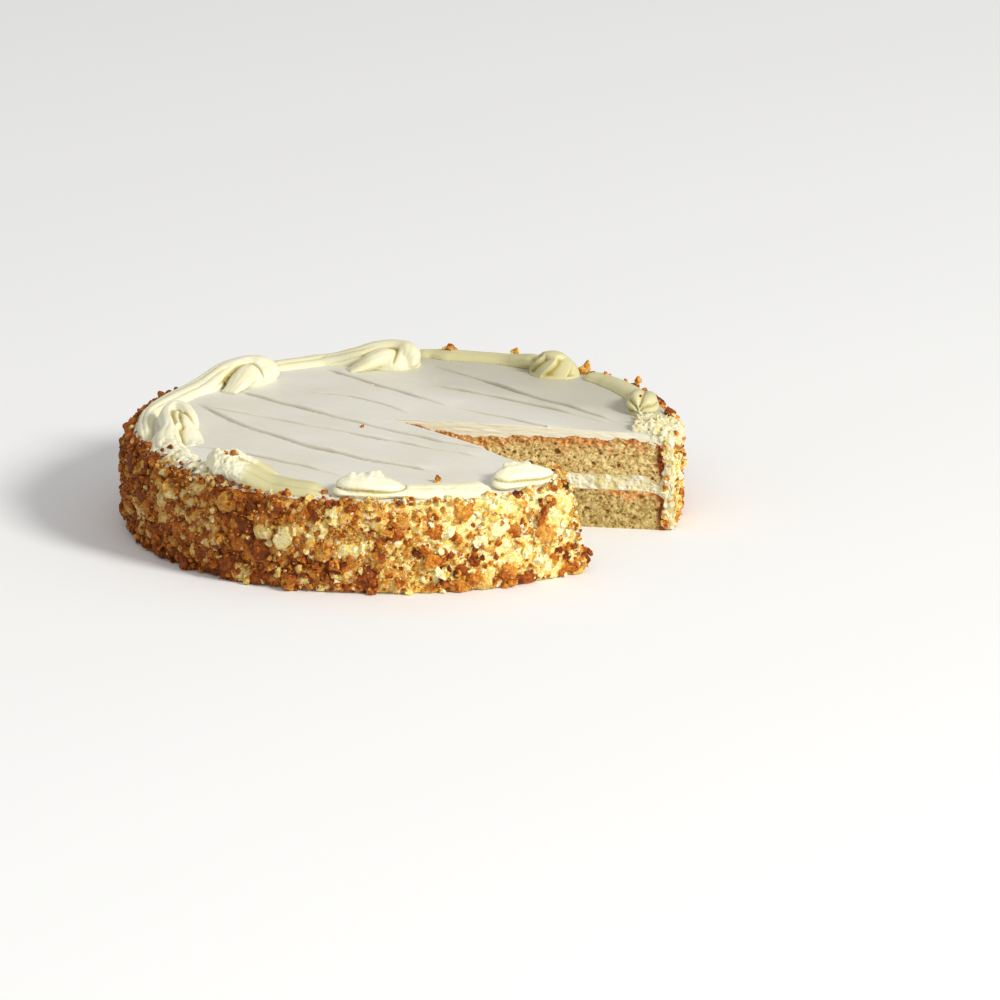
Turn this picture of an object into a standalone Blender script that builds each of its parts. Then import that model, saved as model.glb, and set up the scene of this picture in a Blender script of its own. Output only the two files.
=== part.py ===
"""A round lemon cream cake with one slice cut out, in metres, +Z up, resting on z = 0.

Two sponge layers with a cream filling, a cream top with spatula ridges, a cream side covered with
cake crumbs, and a rim of eight piped swirls, each with a tail that runs on to the next swirl.
Azimuths are measured about +Z from +X. The cut slice faces +X and -Y.
"""

import math
import random

import bmesh
import bpy
from mathutils import Euler, Vector, noise
from mathutils.geometry import delaunay_2d_cdt

MM = 0.001
GAP = 0.3 * MM

# Driving dimensions
CAKE_RADIUS = 130 * MM
SPONGE_RADIUS = 122.5 * MM
COAT_INNER_RADIUS = 122.9 * MM
COAT_RADIUS = 126.8 * MM
COAT_CLEARANCE = 0.6 * MM
LOWER_SPONGE_TOP = 17.9 * MM
CORNER_SHARE = 0.8
CREAM_CENTRE = 46.6 * MM
CREAM_DOME_FALL = 1.4 * MM
CREAM_DOME_REACH = 100 * MM
SHOULDER_START = 104 * MM
SHOULDER_FALL = 2.7 * MM
PIPING_LIMIT = 122.3 * MM

# The missing slice: two upright cuts from a point close to the middle
WEDGE_APEX = Vector((-3.8 * MM, -3.2 * MM))
FAR_CUT = math.radians(-12.8)
NEAR_CUT = math.radians(-51.8)
# The near cut isn't quite upright: at the rim its foot stands out this far into the gap
LEAN_FOOT = 6.5 * MM
LEAN_TOP = 44 * MM
LEAN_SPREAD = math.radians(18.0)

# How finely the shared outline is divided
ARC_STEPS = 36
CUT_STEPS = 18
CRUMB_LEVELS = (0.25, 0.5, 0.75)

# Colours
SPONGE_COLOUR = (0.62, 0.42, 0.16)
FILLING_COLOUR = (0.82, 0.76, 0.50)
CREAM_COLOUR = (0.80, 0.78, 0.70)
PIPING_COLOUR = (0.84, 0.80, 0.52)
COAT_COLOUR = (0.66, 0.40, 0.15)


def clear_scene():
    for obj in list(bpy.data.objects):
        bpy.data.objects.remove(obj, do_unlink=True)


def material(name, colour, roughness):
    made = bpy.data.materials.new(name)
    made.use_nodes = True
    shader = made.node_tree.nodes["Principled BSDF"]
    shader.inputs["Base Color"].default_value = (*colour, 1.0)
    shader.inputs["Roughness"].default_value = roughness
    shader.inputs["Metallic"].default_value = 0.0
    return made


def smooth(low, high, value):
    """0 below low, 1 above high, and a smooth ramp between."""
    share = min(max((value - low) / (high - low), 0.0), 1.0)
    return share * share * (3.0 - 2.0 * share)


def between(stops, value):
    """The height at this value, on the straight runs between (value, height) stops."""
    for (low, first), (high, second) in zip(stops, stops[1:]):
        if value <= high:
            share = max(value - low, 0.0) / (high - low)
            return first + (second - first) * share
    return stops[-1][1]


def polar(radius, azimuth):
    return Vector((radius * math.cos(azimuth), radius * math.sin(azimuth)))


def on_cut(direction, radius):
    """Where a cut leaves the circle of this radius."""
    along = Vector((math.cos(direction), math.sin(direction)))
    middle = along.dot(WEDGE_APEX)
    reach = -middle + math.sqrt(middle**2 - WEDGE_APEX.length_squared + radius**2)
    return WEDGE_APEX + along * reach


def arc_ends(radius):
    """The azimuths at which the two cuts leave this circle, the far one first."""
    far = on_cut(FAR_CUT, radius)
    near = on_cut(NEAR_CUT, radius)
    return math.atan2(far.y, far.x), math.atan2(near.y, near.x) + 2.0 * math.pi


def leaned(point):
    """The point after the lean of the near cut, which fades out away from the cut."""
    from_apex = point.to_2d() - WEDGE_APEX
    before = NEAR_CUT + LEAN_SPREAD - math.atan2(from_apex.y, from_apex.x)
    weight = smooth(0.0, LEAN_SPREAD, LEAN_SPREAD - abs(before % math.tau - LEAN_SPREAD))
    share = min(max(1.0 - point.z / LEAN_TOP, 0.0), 1.0) * from_apex.length / SPONGE_RADIUS
    shift = LEAN_FOOT * share * weight
    return point + Vector((-math.sin(NEAR_CUT) * shift, math.cos(NEAR_CUT) * shift, 0.0))


# ---------------------------------------------------------------- heights over the plan

SPONGE_CORNER = (  # how far the baked upper corner of a sponge falls away, by radius
    (0.0, 0.0),
    (113.5 * MM, 0.0),
    (119.3 * MM, -1.3 * MM),
    (SPONGE_RADIUS, -3.8 * MM),
)
UPPER_SPONGE_FOOT = (  # the underside of the upper sponge, which droops at its crust
    (0.0, 25.3 * MM),
    (113.5 * MM, 25.3 * MM),
    (119.3 * MM, 21.2 * MM),
    (SPONGE_RADIUS, 26.4 * MM),
)
CRUST_HEIGHTS = (  # the crust under the top cream, by distance from the point of the slice
    (0.0, 44.4 * MM),
    (9 * MM, 43.8 * MM),
    (26 * MM, 40.9 * MM),
    (39 * MM, 39.5 * MM),
    (64 * MM, 41.1 * MM),
    (94 * MM, 41.8 * MM),
)


def lower_sponge_top(plan):
    return LOWER_SPONGE_TOP + between(SPONGE_CORNER, plan.length)


def upper_sponge_foot(plan):
    return between(UPPER_SPONGE_FOOT, plan.length)


def upper_sponge_top(plan):
    """The crust under the top cream: a low dome, the hollow round it, and the rounded corner."""
    crust = between(CRUST_HEIGHTS, (plan - WEDGE_APEX).length)
    return crust + CORNER_SHARE * between(SPONGE_CORNER, plan.length)


# Each spatula ridge runs along q and is offset by p = start + slope q + bend q^2 across it
RIDGE_ALONG = Vector((0.68, -0.73)).normalized()
RIDGE_ACROSS = Vector((0.73, 0.68)).normalized()
RIDGES = (  # start (mm), slope, bend (1/mm), first q, last q (mm), height (mm)
    (-85.5, 0.163, -0.0019, -60, 55, 0.7),
    (-60.3, 0.015, 0.0022, -95, 75, 1.0),
    (-34.0, 0.181, 0.0002, -85, 75, 0.7),
    (-19.5, 0.063, 0.0010, -95, 75, 1.0),
    (5.6, -0.324, -0.0060, -70, 0, 0.6),
    (27.5, -0.060, 0.0005, -92, 5, 0.9),
    (27.5, 0.150, 0.0, 0, 70, 0.6),
    (54.3, 0.150, -0.0009, -35, 75, 0.7),
    (68.5, -0.081, 0.0006, -60, 75, 0.9),
)
RIDGE_LIP = 0.9 * MM
RIDGE_RUN_OUT = 17 * MM
RIDGE_FADE = 14 * MM


def ridge_offset(ridge, along):
    start, slope, bend = ridge[:3]
    run = along / MM
    return (start + slope * run + bend * run * run) * MM


def ridge_relief(plan):
    """A sharp lip on the near side of each ridge, and a slow fall behind it."""
    along = plan.dot(RIDGE_ALONG)
    across = plan.dot(RIDGE_ACROSS)
    total = 0.0
    for ridge in RIDGES:
        first, last, height = ridge[3] * MM, ridge[4] * MM, ridge[5] * MM
        away = across - ridge_offset(ridge, along)
        strength = smooth(first, first + RIDGE_FADE, along) * (1.0 - smooth(last - RIDGE_FADE, last, along))
        rise = smooth(-RIDGE_LIP, RIDGE_LIP, away)
        fall = 1.0 - smooth(RIDGE_LIP, RIDGE_RUN_OUT, away)
        total += height * strength * rise * fall
    return total


def smooth_top(plan):
    """The cream top without its ridges: a low dome with a rounded shoulder."""
    radius = plan.length
    dome = CREAM_CENTRE - CREAM_DOME_FALL * (radius / CREAM_DOME_REACH) ** 2
    past = max(radius - SHOULDER_START, 0.0) / (SPONGE_RADIUS - SHOULDER_START)
    return dome - SHOULDER_FALL * past * past


def cream_top(plan):
    return smooth_top(plan) + ridge_relief(plan) * clear_of_piping(plan)


# ---------------------------------------------------------------- piping

class Swirl:
    """A piped loop on the rim and the tail that it leaves towards the next loop.

    The loop lies about its middle, half_length along the rim and half_width across it. The tail
    runs on at greater azimuths: each of its stops is (azimuth, inner radius, outer radius).
    """

    def __init__(self, azimuth, radius, half_length, half_width, height, tail_crest, tail):
        self.azimuth = math.radians(azimuth)
        self.radius = radius * MM
        self.half_length = half_length * MM
        self.half_width = half_width * MM
        self.height = height * MM
        self.tail_crest = tail_crest * MM
        self.inner = [(math.radians(stop[0]), stop[1] * MM) for stop in tail]
        self.outer = [(math.radians(stop[0]), stop[2] * MM) for stop in tail]
        self.tail_end = math.radians(tail[-1][0])

    def run(self, azimuth):
        return (azimuth - self.azimuth) * self.radius

    def edges(self, azimuth):
        """The inner and the outer radius of the piping at this azimuth."""
        run = self.run(azimuth)
        share = min(abs(run) / self.half_length, 1.0)
        width = self.half_width * math.sqrt(1.0 - share * share)
        widest = self.outer[0][1]
        if run < 0.0:
            return self.radius - width, min(self.radius + width, widest)
        turn = smooth(0.45 * self.half_length, 1.2 * self.half_length, run)
        inner = self.radius - width
        inner += (between(self.inner, azimuth) - inner) * turn
        outer = min(self.radius + self.half_width, widest)
        outer += (between(self.outer, azimuth) - outer) * smooth(0.0, 0.9 * self.half_length, run)
        return inner, outer

    def rolls(self):
        """Two rolls as lists of (run, offset, half width, crest).

        The outer one starts on the inner side, goes round the end away from the tail, and runs on
        into the tail. The tongue lies inside that bend and points to the inner side.
        """
        outer = []
        for step in range(LOOP_POINTS):
            share = step / (LOOP_POINTS - 1)
            turn = math.radians(LOOP_START + (360.0 - LOOP_START) * share)
            run = LOOP_REACH * self.half_length * math.sin(turn)
            offset = LOOP_REACH * self.half_width * math.cos(turn)
            rise = smooth(-0.3, 0.4, share)
            outer.append((run, offset, LOOP_ROLL * self.half_width, self.height * rise))
        length = (self.tail_end - self.azimuth) * self.radius
        for step in range(1, TAIL_POINTS):
            share = step / (TAIL_POINTS - 1)
            run = length * share
            inner, outside = self.edges(self.azimuth + run / self.radius)
            settled = smooth(0.0, 0.45, share)
            begin = LOOP_REACH * self.half_width
            offset = begin + (0.5 * (inner + outside) - self.radius - begin) * settled
            width = 0.5 * (outside - inner) * (0.6 + 0.4 * settled)
            crest = self.height + (self.tail_crest - self.height) * smooth(0.0, 0.5, share)
            outer.append((run, offset, width, crest))
        width, crest = TONGUE_ROLL * self.half_width, TONGUE_CREST * self.height
        tongue = [
            (place[0] * self.half_length, place[1] * self.half_width, width, crest)
            for place in TONGUE_ENDS
        ]
        return outer, tongue


LOOP_POINTS = 16
LOOP_START = 190.0
LOOP_REACH = 0.62
LOOP_ROLL = 0.42
TONGUE_ENDS = ((0.55, -0.72), (-0.08, 0.04))
TONGUE_ROLL = 0.34
TONGUE_CREST = 0.9
TAIL_POINTS = 14
EDGE_HEIGHT = 1.6 * MM
FLUTE_DEPTH = 0.25

SWIRLS = {  # azimuth (deg), radius, half length, half width, height, tail crest (mm), tail stops
    "swirl_1": Swirl(5.2, 110.5, 12.5, 9.0, 10.0, 4.0, [(14, 107, 122), (38, 106, 122)]),
    "swirl_2": Swirl(
        47.4, 105.0, 14.0, 11.5, 10.0, 4.2, [(60, 105, 120), (78, 105, 122), (82, 110, 122), (88, 110.5, 121)]
    ),
    "swirl_3": Swirl(92.4, 95.5, 14.5, 13.5, 11.0, 4.2, [(100, 98, 109), (108, 103, 121), (125, 105, 122)]),
    "swirl_4": Swirl(
        134.0, 102.5, 15.0, 14.0, 10.5, 4.5, [(146, 102, 120), (160, 106, 122), (170, 112.8, 122), (190, 113, 122)]
    ),
    "swirl_5": Swirl(184.0, 102.0, 18.0, 9.6, 9.5, 3.8, [(191.3, 100, 112), (195, 104, 122), (216, 108, 122)]),
    "swirl_6": Swirl(225.5, 110.5, 14.0, 10.5, 9.5, 3.0, [(235, 105, 121), (252.5, 109, 122)]),
    "swirl_7": Swirl(262.3, 113.0, 16.5, 9.2, 8.5, 2.8, [(272, 107, 122), (287, 110, 122)]),
    "swirl_8": Swirl(297.0, 113.0, 15.5, 9.2, 9.0, 5.0, [(303, 106, 122), (307, 107, 122)]),
}
REMNANT_ENDS = (math.radians(-12.9), math.radians(-3.0))
REMNANT_RADII = (107.5 * MM, PIPING_LIMIT)
REMNANT_HEIGHT = 5.5 * MM
REMNANT_STEPS = 8
RING_INNER = 103 * MM
RELIEF_END = 96 * MM
RELIEF_FADE = 8 * MM


def clear_of_piping(plan):
    """1 on the open top, falling to 0 under the piping, so that each roll has an even bed."""
    clear = 1.0 - smooth(RELIEF_END - RELIEF_FADE, RELIEF_END, plan.length)
    azimuth = math.atan2(plan.y, plan.x)
    for swirl in SWIRLS.values():
        turn = (azimuth - swirl.azimuth + math.pi) % (2.0 * math.pi) - math.pi
        along = turn * swirl.radius / (swirl.half_length + 2 * MM)
        across = (plan.length - swirl.radius) / (swirl.half_width + 2 * MM)
        clear *= smooth(1.0, 1.35, math.hypot(along, across))
    return clear


def roll_height(path, here):
    """The height of one piped roll above its bed at a point of its plan."""
    best = 0.0
    for first, second in zip(path, path[1:]):
        a = Vector(first[:2])
        b = Vector(second[:2])
        share = min(max((here - a).dot(b - a) / max((b - a).length_squared, 1e-12), 0.0), 1.0)
        width = first[2] + (second[2] - first[2]) * share
        crest = first[3] + (second[3] - first[3]) * share
        away = (here - a.lerp(b, share)).length / width
        if away < 1.0:
            flat = smooth(0.95, 0.45, crest / (8 * MM))
            valley = 1.0 - FLUTE_DEPTH * flat * (0.5 + 0.5 * math.cos(math.tau * away))
            best = max(best, crest * math.sqrt(1.0 - away**2.4) * valley)
    return best


# ---------------------------------------------------------------- closed solids

def cap(corners, inner):
    """Triangles over the plan of a closed run of corners and the points inside it."""
    points = [Vector((p.x, p.y)) / MM for p in list(corners) + list(inner)]
    count = len(corners)
    edges = [(i, (i + 1) % count) for i in range(count)]
    found = delaunay_2d_cdt(points, edges, [list(range(count))], 1, 1e-5)
    source = [group[0] for group in found[3]]
    triangles = []
    for face in found[2]:
        a, b, c = (source[i] for i in face)
        span = (points[b] - points[a]).cross(points[c] - points[a])
        triangles.append((a, b, c) if span > 0.0 else (a, c, b))
    return triangles


def slab(name, columns, bottom_inner, top_inner):
    """A closed solid: an outline of upright columns, bottom to top, and a cap at each end."""
    mesh = bmesh.new()
    walls = [[mesh.verts.new(leaned(point)) for point in column] for column in columns]
    for this, following in zip(walls, walls[1:] + walls[:1]):
        if len(this) == len(following):
            for low in range(len(this) - 1):
                mesh.faces.new((this[low], following[low], following[low + 1], this[low + 1]))
        else:
            mesh.faces.new(following + this[::-1])
    for end, inner, upwards in ((0, bottom_inner, False), (-1, top_inner, True)):
        rim = [column[end] for column in walls]
        verts = rim + [mesh.verts.new(leaned(point)) for point in inner]
        for triangle in cap([vert.co for vert in rim], [vert.co for vert in verts[len(rim):]]):
            order = triangle if upwards else triangle[::-1]
            mesh.faces.new([verts[i] for i in order])
    bmesh.ops.triangulate(mesh, faces=mesh.faces[:])
    data = bpy.data.meshes.new(name)
    mesh.to_mesh(data)
    mesh.free()
    obj = bpy.data.objects.new(name, data)
    bpy.context.scene.collection.objects.link(obj)
    return obj


def raised(plan, height):
    return Vector((plan.x, plan.y, height))


def crumb_relief(point):
    """How far the cut face of a sponge stands in or out: pits, and the grain between them."""
    grain = noise.noise(point / (5.0 * MM))
    pits = max(noise.noise(point / (9.0 * MM) + Vector((7.0, 3.0, 1.0))) - 0.15, 0.0)
    return (0.35 * grain - 2.2 * pits) * MM


def sector_outline():
    """(plan point, direction out of the cake where it's on a cut) round a layer of the cake."""
    outline = []
    far_out = Vector((math.sin(FAR_CUT), -math.cos(FAR_CUT)))
    near_out = Vector((-math.sin(NEAR_CUT), math.cos(NEAR_CUT)))
    far_corner = on_cut(FAR_CUT, SPONGE_RADIUS)
    near_corner = on_cut(NEAR_CUT, SPONGE_RADIUS)
    outline.append((WEDGE_APEX.copy(), None))
    for step in range(1, CUT_STEPS):
        outline.append((WEDGE_APEX.lerp(far_corner, step / CUT_STEPS), far_out))
    start, end = arc_ends(SPONGE_RADIUS)
    for step in range(ARC_STEPS + 1):
        outline.append((polar(SPONGE_RADIUS, start + (end - start) * step / ARC_STEPS), None))
    for step in range(1, CUT_STEPS):
        outline.append((near_corner.lerp(WEDGE_APEX, step / CUT_STEPS), near_out))
    return outline


def rings(radii):
    """Points inside a layer, on arcs of these radii, just short of the cuts."""
    points = []
    for radius in radii:
        start, end = arc_ends(radius)
        count = max(6, round(ARC_STEPS * radius / SPONGE_RADIUS))
        for step in range(count):
            points.append(polar(radius, start + (end - start) * (step + 0.5) / count))
    return points


def layer(name, foot, top, relief, foot_plan, top_plan):
    """A layer of the cake between two heights, with relief on its two cut faces."""
    columns = []
    for plan, outward in sector_outline():
        low, high = foot(plan), top(plan)
        column = [raised(plan, low)]
        if relief and outward is not None:
            for level in CRUMB_LEVELS:
                point = raised(plan, low + (high - low) * level)
                column.append(point + raised(outward * crumb_relief(point), 0.0))
        column.append(raised(plan, high))
        columns.append(column)
    bottom = [raised(plan, foot(plan)) for plan in foot_plan]
    upper = [raised(plan, top(plan)) for plan in top_plan]
    return slab(name, columns, bottom, upper)


def inside_cake(plan, margin):
    """Whether a plan point is inside the layers by this margin."""
    if plan.length > SPONGE_RADIUS - margin:
        return False
    from_apex = plan - WEDGE_APEX
    far_side = Vector((math.sin(FAR_CUT), -math.cos(FAR_CUT))).dot(from_apex)
    near_side = Vector((-math.sin(NEAR_CUT), math.cos(NEAR_CUT))).dot(from_apex)
    return min(far_side, near_side) < -margin


def ridge_points():
    """Points along the foot and the lip of each ridge, then an even field between the ridges."""
    margin = 2.5 * MM
    points = []
    for swirl in SWIRLS.values():
        for step in range(COLLAR_POINTS):
            turn = math.tau * step / COLLAR_POINTS
            run = COLLAR_REACH * swirl.half_length * math.sin(turn)
            offset = COLLAR_REACH * swirl.half_width * math.cos(turn)
            plan = polar(swirl.radius + offset, swirl.azimuth + run / swirl.radius)
            if plan.length < RING_INNER:
                points.append(plan)
    for ridge in RIDGES:
        steps = max(3, round((ridge[4] - ridge[3]) / RIDGE_STEP))
        for step in range(steps + 1):
            along = (ridge[3] + (ridge[4] - ridge[3]) * step / steps) * MM
            for side in (-RIDGE_LIP, RIDGE_LIP):
                across = ridge_offset(ridge, along) + side
                plan = RIDGE_ALONG * along + RIDGE_ACROSS * across
                if inside_cake(plan, margin) and plan.length < RING_INNER:
                    if min([(plan - other).length for other in points] or [1.0]) > RIDGE_LIP:
                        points.append(plan)
    columns = int(SPONGE_RADIUS / FIELD_STEP) + 1
    for row in range(-columns, columns + 1):
        for place in range(-columns, columns + 1):
            plan = Vector(((place + 0.5 * (row % 2)) * FIELD_STEP, row * FIELD_STEP * 0.866))
            if inside_cake(plan, margin) and plan.length < RING_INNER:
                if min((plan - other).length for other in points) > 0.55 * FIELD_STEP:
                    points.append(plan)
    return points


COLLAR_POINTS = 12
COLLAR_REACH = 1.12
RIDGE_STEP = 12.0
FIELD_STEP = 12.5 * MM
CORNER_RINGS = (113.5 * MM, 119.3 * MM)
CRUST_RINGS = (9 * MM, 26 * MM, 39 * MM, 64 * MM, 94 * MM)
SHOULDER_RINGS = (107.5 * MM, 113.5 * MM, 118.5 * MM)


def build_layers():
    sponge = material("sponge", SPONGE_COLOUR, 0.9)
    corner = rings(CORNER_RINGS)
    sunk = rings(CRUST_RINGS + CORNER_RINGS)
    lower = layer("sponge_bottom", lambda plan: 0.0, lower_sponge_top, True, [], corner)
    upper = layer("sponge_top", upper_sponge_foot, upper_sponge_top, True, corner, sunk)
    lower.data.materials.append(sponge)
    upper.data.materials.append(sponge)

    def filling_foot(plan):
        return lower_sponge_top(plan) + GAP

    def filling_top(plan):
        return upper_sponge_foot(plan) - GAP

    filling = layer("filling", filling_foot, filling_top, False, corner, corner)
    filling.data.materials.append(material("filling_cream", FILLING_COLOUR, 0.6))

    def cream_foot(plan):
        return upper_sponge_top(plan) + GAP

    top_plan = ridge_points() + rings(SHOULDER_RINGS)
    cream = layer("top_cream", cream_foot, cream_top, False, sunk, top_plan)
    cream.data.materials.append(material("top_cream", CREAM_COLOUR, 0.5))


# ---------------------------------------------------------------- piped rim

OUTLINE_STEP = 3.0 * MM
TAIL_STEP = 7.5 * MM
ROLL_STEP = 3.1 * MM
TAIL_ROLL_STEP = 7.0 * MM
ROLL_SIDES = (0.0, -0.62, 0.62, -0.92, 0.92)
POINT_ROOM = 1.9 * MM
EDGE_ROOM = 1.0 * MM
END_SPANS = 4
BED_SHARES = (0.33, 0.67)
BED_GAP = GAP + 0.18 * MM


def stations_along(swirl):
    """Azimuths at which the outline turns: close together round the loop, wider along the tail."""
    stations = []
    run = -0.985 * swirl.half_length
    last = swirl.run(swirl.tail_end)
    while run < last - 0.4 * TAIL_STEP:
        stations.append(swirl.azimuth + run / swirl.radius)
        run += OUTLINE_STEP if run < 1.2 * swirl.half_length else TAIL_STEP
    stations.append(swirl.tail_end)
    return stations


def roll_points(swirl, path, taken):
    """Plan points along a roll's crest and its flanks, clear of the outline and of each other."""
    points = []
    for first, second in zip(path, path[1:]):
        a, b = Vector(first[:2]), Vector(second[:2])
        tail = a.x > 1.3 * swirl.half_length
        steps = max(1, round((b - a).length / (TAIL_ROLL_STEP if tail else ROLL_STEP)))
        side = Vector((a.y - b.y, b.x - a.x)).normalized()
        for step in range(steps):
            share = step / steps
            width = first[2] + (second[2] - first[2]) * share
            for across in ROLL_SIDES:
                here = a.lerp(b, share) + side * (across * width)
                azimuth = swirl.azimuth + here.x / swirl.radius
                radius = swirl.radius + here.y
                inner, outer = swirl.edges(azimuth)
                if not inner + EDGE_ROOM < radius < outer - EDGE_ROOM:
                    continue
                if swirl.run(azimuth) < -0.93 * swirl.half_length:
                    continue
                if azimuth > swirl.tail_end - EDGE_ROOM / swirl.radius:
                    continue
                plan = polar(radius, azimuth)
                if min((plan - other).length for other in taken + points) > POINT_ROOM:
                    points.append(plan)
    return points


def piping(name, stations, edges, height, crown):
    """A roll on the cream between two edges, its height read round the outline and at the crown."""
    def pair(plan):
        bed = smooth_top(plan) + BED_GAP
        risen = max(height(plan), EDGE_HEIGHT)
        return raised(plan, bed), raised(plan, bed + risen)

    ring = []
    for place in range(END_SPANS + 1):
        inner, outer = edges(stations[0])
        ring.append(polar(inner + (outer - inner) * place / END_SPANS, stations[0]))
    ring += [polar(edges(azimuth)[1], azimuth) for azimuth in stations[1:-1]]
    for place in range(END_SPANS, -1, -1):
        inner, outer = edges(stations[-1])
        ring.append(polar(inner + (outer - inner) * place / END_SPANS, stations[-1]))
    ring += [polar(edges(azimuth)[0], azimuth) for azimuth in stations[-2:0:-1]]
    columns = [[pair(plan)[0], pair(plan)[0] + Vector((0.0, 0.0, EDGE_HEIGHT))] for plan in ring]
    bed = []
    for azimuth in stations[1:-1]:
        inner, outer = edges(azimuth)
        for share in BED_SHARES:
            bed.append(pair(polar(inner + (outer - inner) * share, azimuth))[0])
    return slab(name, columns, bed, [pair(plan)[1] for plan in crown if plan not in ring])


def build_swirls():
    cream = material("piped_cream", PIPING_COLOUR, 0.45)
    for name, swirl in SWIRLS.items():
        outer, tongue = swirl.rolls()

        def height(plan, swirl=swirl, outer=outer, tongue=tongue):
            turn = (math.atan2(plan.y, plan.x) - swirl.azimuth + math.pi) % math.tau - math.pi
            here = Vector((turn * swirl.radius, plan.length - swirl.radius))
            return max(roll_height(outer, here), roll_height(tongue, here))

        stations = stations_along(swirl)
        rim = [polar(radius, azimuth) for azimuth in stations for radius in swirl.edges(azimuth)]
        crown = roll_points(swirl, tongue, rim)
        crown += roll_points(swirl, outer, rim + crown)
        obj = piping(name, stations, swirl.edges, height, crown)
        obj.data.materials.append(cream)

    def torn(plan):
        return REMNANT_HEIGHT * (0.7 + 0.6 * noise.noise(raised(plan, 0.0) / (5.0 * MM)))

    first, last = REMNANT_ENDS
    stations = [first + (last - first) * step / REMNANT_STEPS for step in range(REMNANT_STEPS + 1)]
    inner, outer = REMNANT_RADII
    crown = []
    for azimuth in stations[1:-1]:
        for place in range(1, REMNANT_STEPS - 2):
            crown.append(polar(inner + (outer - inner) * place / (REMNANT_STEPS - 2), azimuth))
    remnant = piping("tail_remnant", stations, lambda azimuth: REMNANT_RADII, torn, crown)
    remnant.data.materials.append(cream)


# ---------------------------------------------------------------- side cream with crumbs

COAT_PROFILE = (  # (height, radius) up the outside of the side cream
    (COAT_CLEARANCE, 125.4 * MM),
    (7 * MM, 126.4 * MM),
    (20 * MM, COAT_RADIUS),
    (33 * MM, 126.6 * MM),
    (38.6 * MM, 125.4 * MM),
)
COAT_TOP = 41.4 * MM
COAT_STEPS = 60
COAT_BUMP = 0.9 * MM
CRUMBS = 150
CRUMB_SIZES = (2.6 * MM, 5.4 * MM)
CRUMB_HEIGHTS = (4.6 * MM, 38.0 * MM)
CRUMB_TRIES = 24
CRUMB_SEED = 7
FAR_END_REACH = 2.2 * MM
FAR_END_LENGTH = math.radians(14.0)


def coat_body():
    """The band of cream round the side, with an uneven outer face."""
    columns = []
    start, end = arc_ends(COAT_RADIUS)
    for step in range(COAT_STEPS + 1):
        azimuth = start + (end - start) * step / COAT_STEPS
        column = []
        for height, radius in COAT_PROFILE:
            bump = COAT_BUMP * noise.noise(raised(polar(radius, azimuth), height) / (9.0 * MM))
            if step in (0, COAT_STEPS):
                plan = on_cut(FAR_CUT if step == 0 else NEAR_CUT, radius)
            else:
                plan = polar(radius + bump, azimuth)
            column.append(raised(plan, height))
        columns.append(column)
    start, end = arc_ends(COAT_INNER_RADIUS)
    for step in range(ARC_STEPS, -1, -1):
        plan = polar(COAT_INNER_RADIUS, start + (end - start) * step / ARC_STEPS)
        columns.append([raised(plan, COAT_CLEARANCE), raised(plan, COAT_TOP)])
    return slab("side_coat", columns, [], [])


def crumb_places(rng):
    """(azimuth, height, size) of each crumb, largest first, each as far as it can be from the rest."""
    start, end = arc_ends(CAKE_RADIUS)
    low, high = CRUMB_HEIGHTS
    margin = 3.5 * MM / CAKE_RADIUS
    places = []
    for number in range(CRUMBS):
        size = CRUMB_SIZES[1] + (CRUMB_SIZES[0] - CRUMB_SIZES[1]) * math.sqrt(number / (CRUMBS - 1))
        best, best_room = None, -1.0
        for _ in range(CRUMB_TRIES):
            azimuth = rng.uniform(start + margin, end - margin)
            height = rng.uniform(low, high)
            room = min(
                [math.hypot((azimuth - a) * CAKE_RADIUS, height - h) - s for a, h, s in places] or [1.0]
            )
            if room > best_room:
                best, best_room = (azimuth, height), room
        places.append((*best, size))
    return places


def crumb_limit(azimuth):
    """How far out crumbs may reach: a little further beside the far cut, where they are heaped."""
    from_end = azimuth - arc_ends(CAKE_RADIUS)[0]
    return CAKE_RADIUS + FAR_END_REACH * (1.0 - smooth(0.0, FAR_END_LENGTH, from_end))


def crumb(rng, azimuth, height, size, group):
    """An irregular twenty-sided crumb, half sunk in the cream and kept inside the cake's radius."""
    mesh = bmesh.new()
    bmesh.ops.create_icosphere(mesh, subdivisions=1, radius=1.0)
    stretch = Vector((rng.uniform(0.75, 1.0), rng.uniform(0.85, 1.25), rng.uniform(0.75, 1.1)))
    turn = Euler([rng.uniform(0.0, math.tau) for _ in range(3)]).to_matrix()
    middle = raised(polar(between(COAT_PROFILE, height) + 0.25 * size, azimuth), height)
    outward = raised(polar(1.0, azimuth), 0.0)
    for vert in mesh.verts:
        shaped = Vector([a * b for a, b in zip(vert.co, stretch)]) * size * rng.uniform(0.8, 1.12)
        point = middle + turn @ shaped
        reach = point.to_2d().length
        limit = crumb_limit(azimuth)
        if reach > limit:
            point -= outward * (reach - limit)
        inner = COAT_INNER_RADIUS + 0.4 * MM
        if reach < inner:
            point += outward * (inner - reach)
        point.z = min(max(point.z, COAT_CLEARANCE), COAT_TOP - 0.2 * MM)
        vert.co = leaned(point)
    data = bpy.data.meshes.new("crumb")
    mesh.to_mesh(data)
    mesh.free()
    group.objects.link(bpy.data.objects.new("crumb", data))


def applied(obj):
    """Replaces the object's mesh by what its modifiers make of it."""
    graph = bpy.context.evaluated_depsgraph_get()
    data = bpy.data.meshes.new_from_object(obj.evaluated_get(graph))
    obj.modifiers.clear()
    obj.data = data


def largest_body(mesh):
    """Deletes everything that isn't joined to the largest connected piece."""
    left = set(mesh.verts)
    groups = []
    while left:
        group = {left.pop()}
        edge = list(group)
        while edge:
            for link in edge.pop().link_edges:
                for vert in link.verts:
                    if vert in left:
                        left.discard(vert)
                        group.add(vert)
                        edge.append(vert)
        groups.append(group)
    keep = max(groups, key=len)
    bmesh.ops.delete(mesh, geom=[vert for vert in mesh.verts if vert not in keep], context="VERTS")


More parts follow.
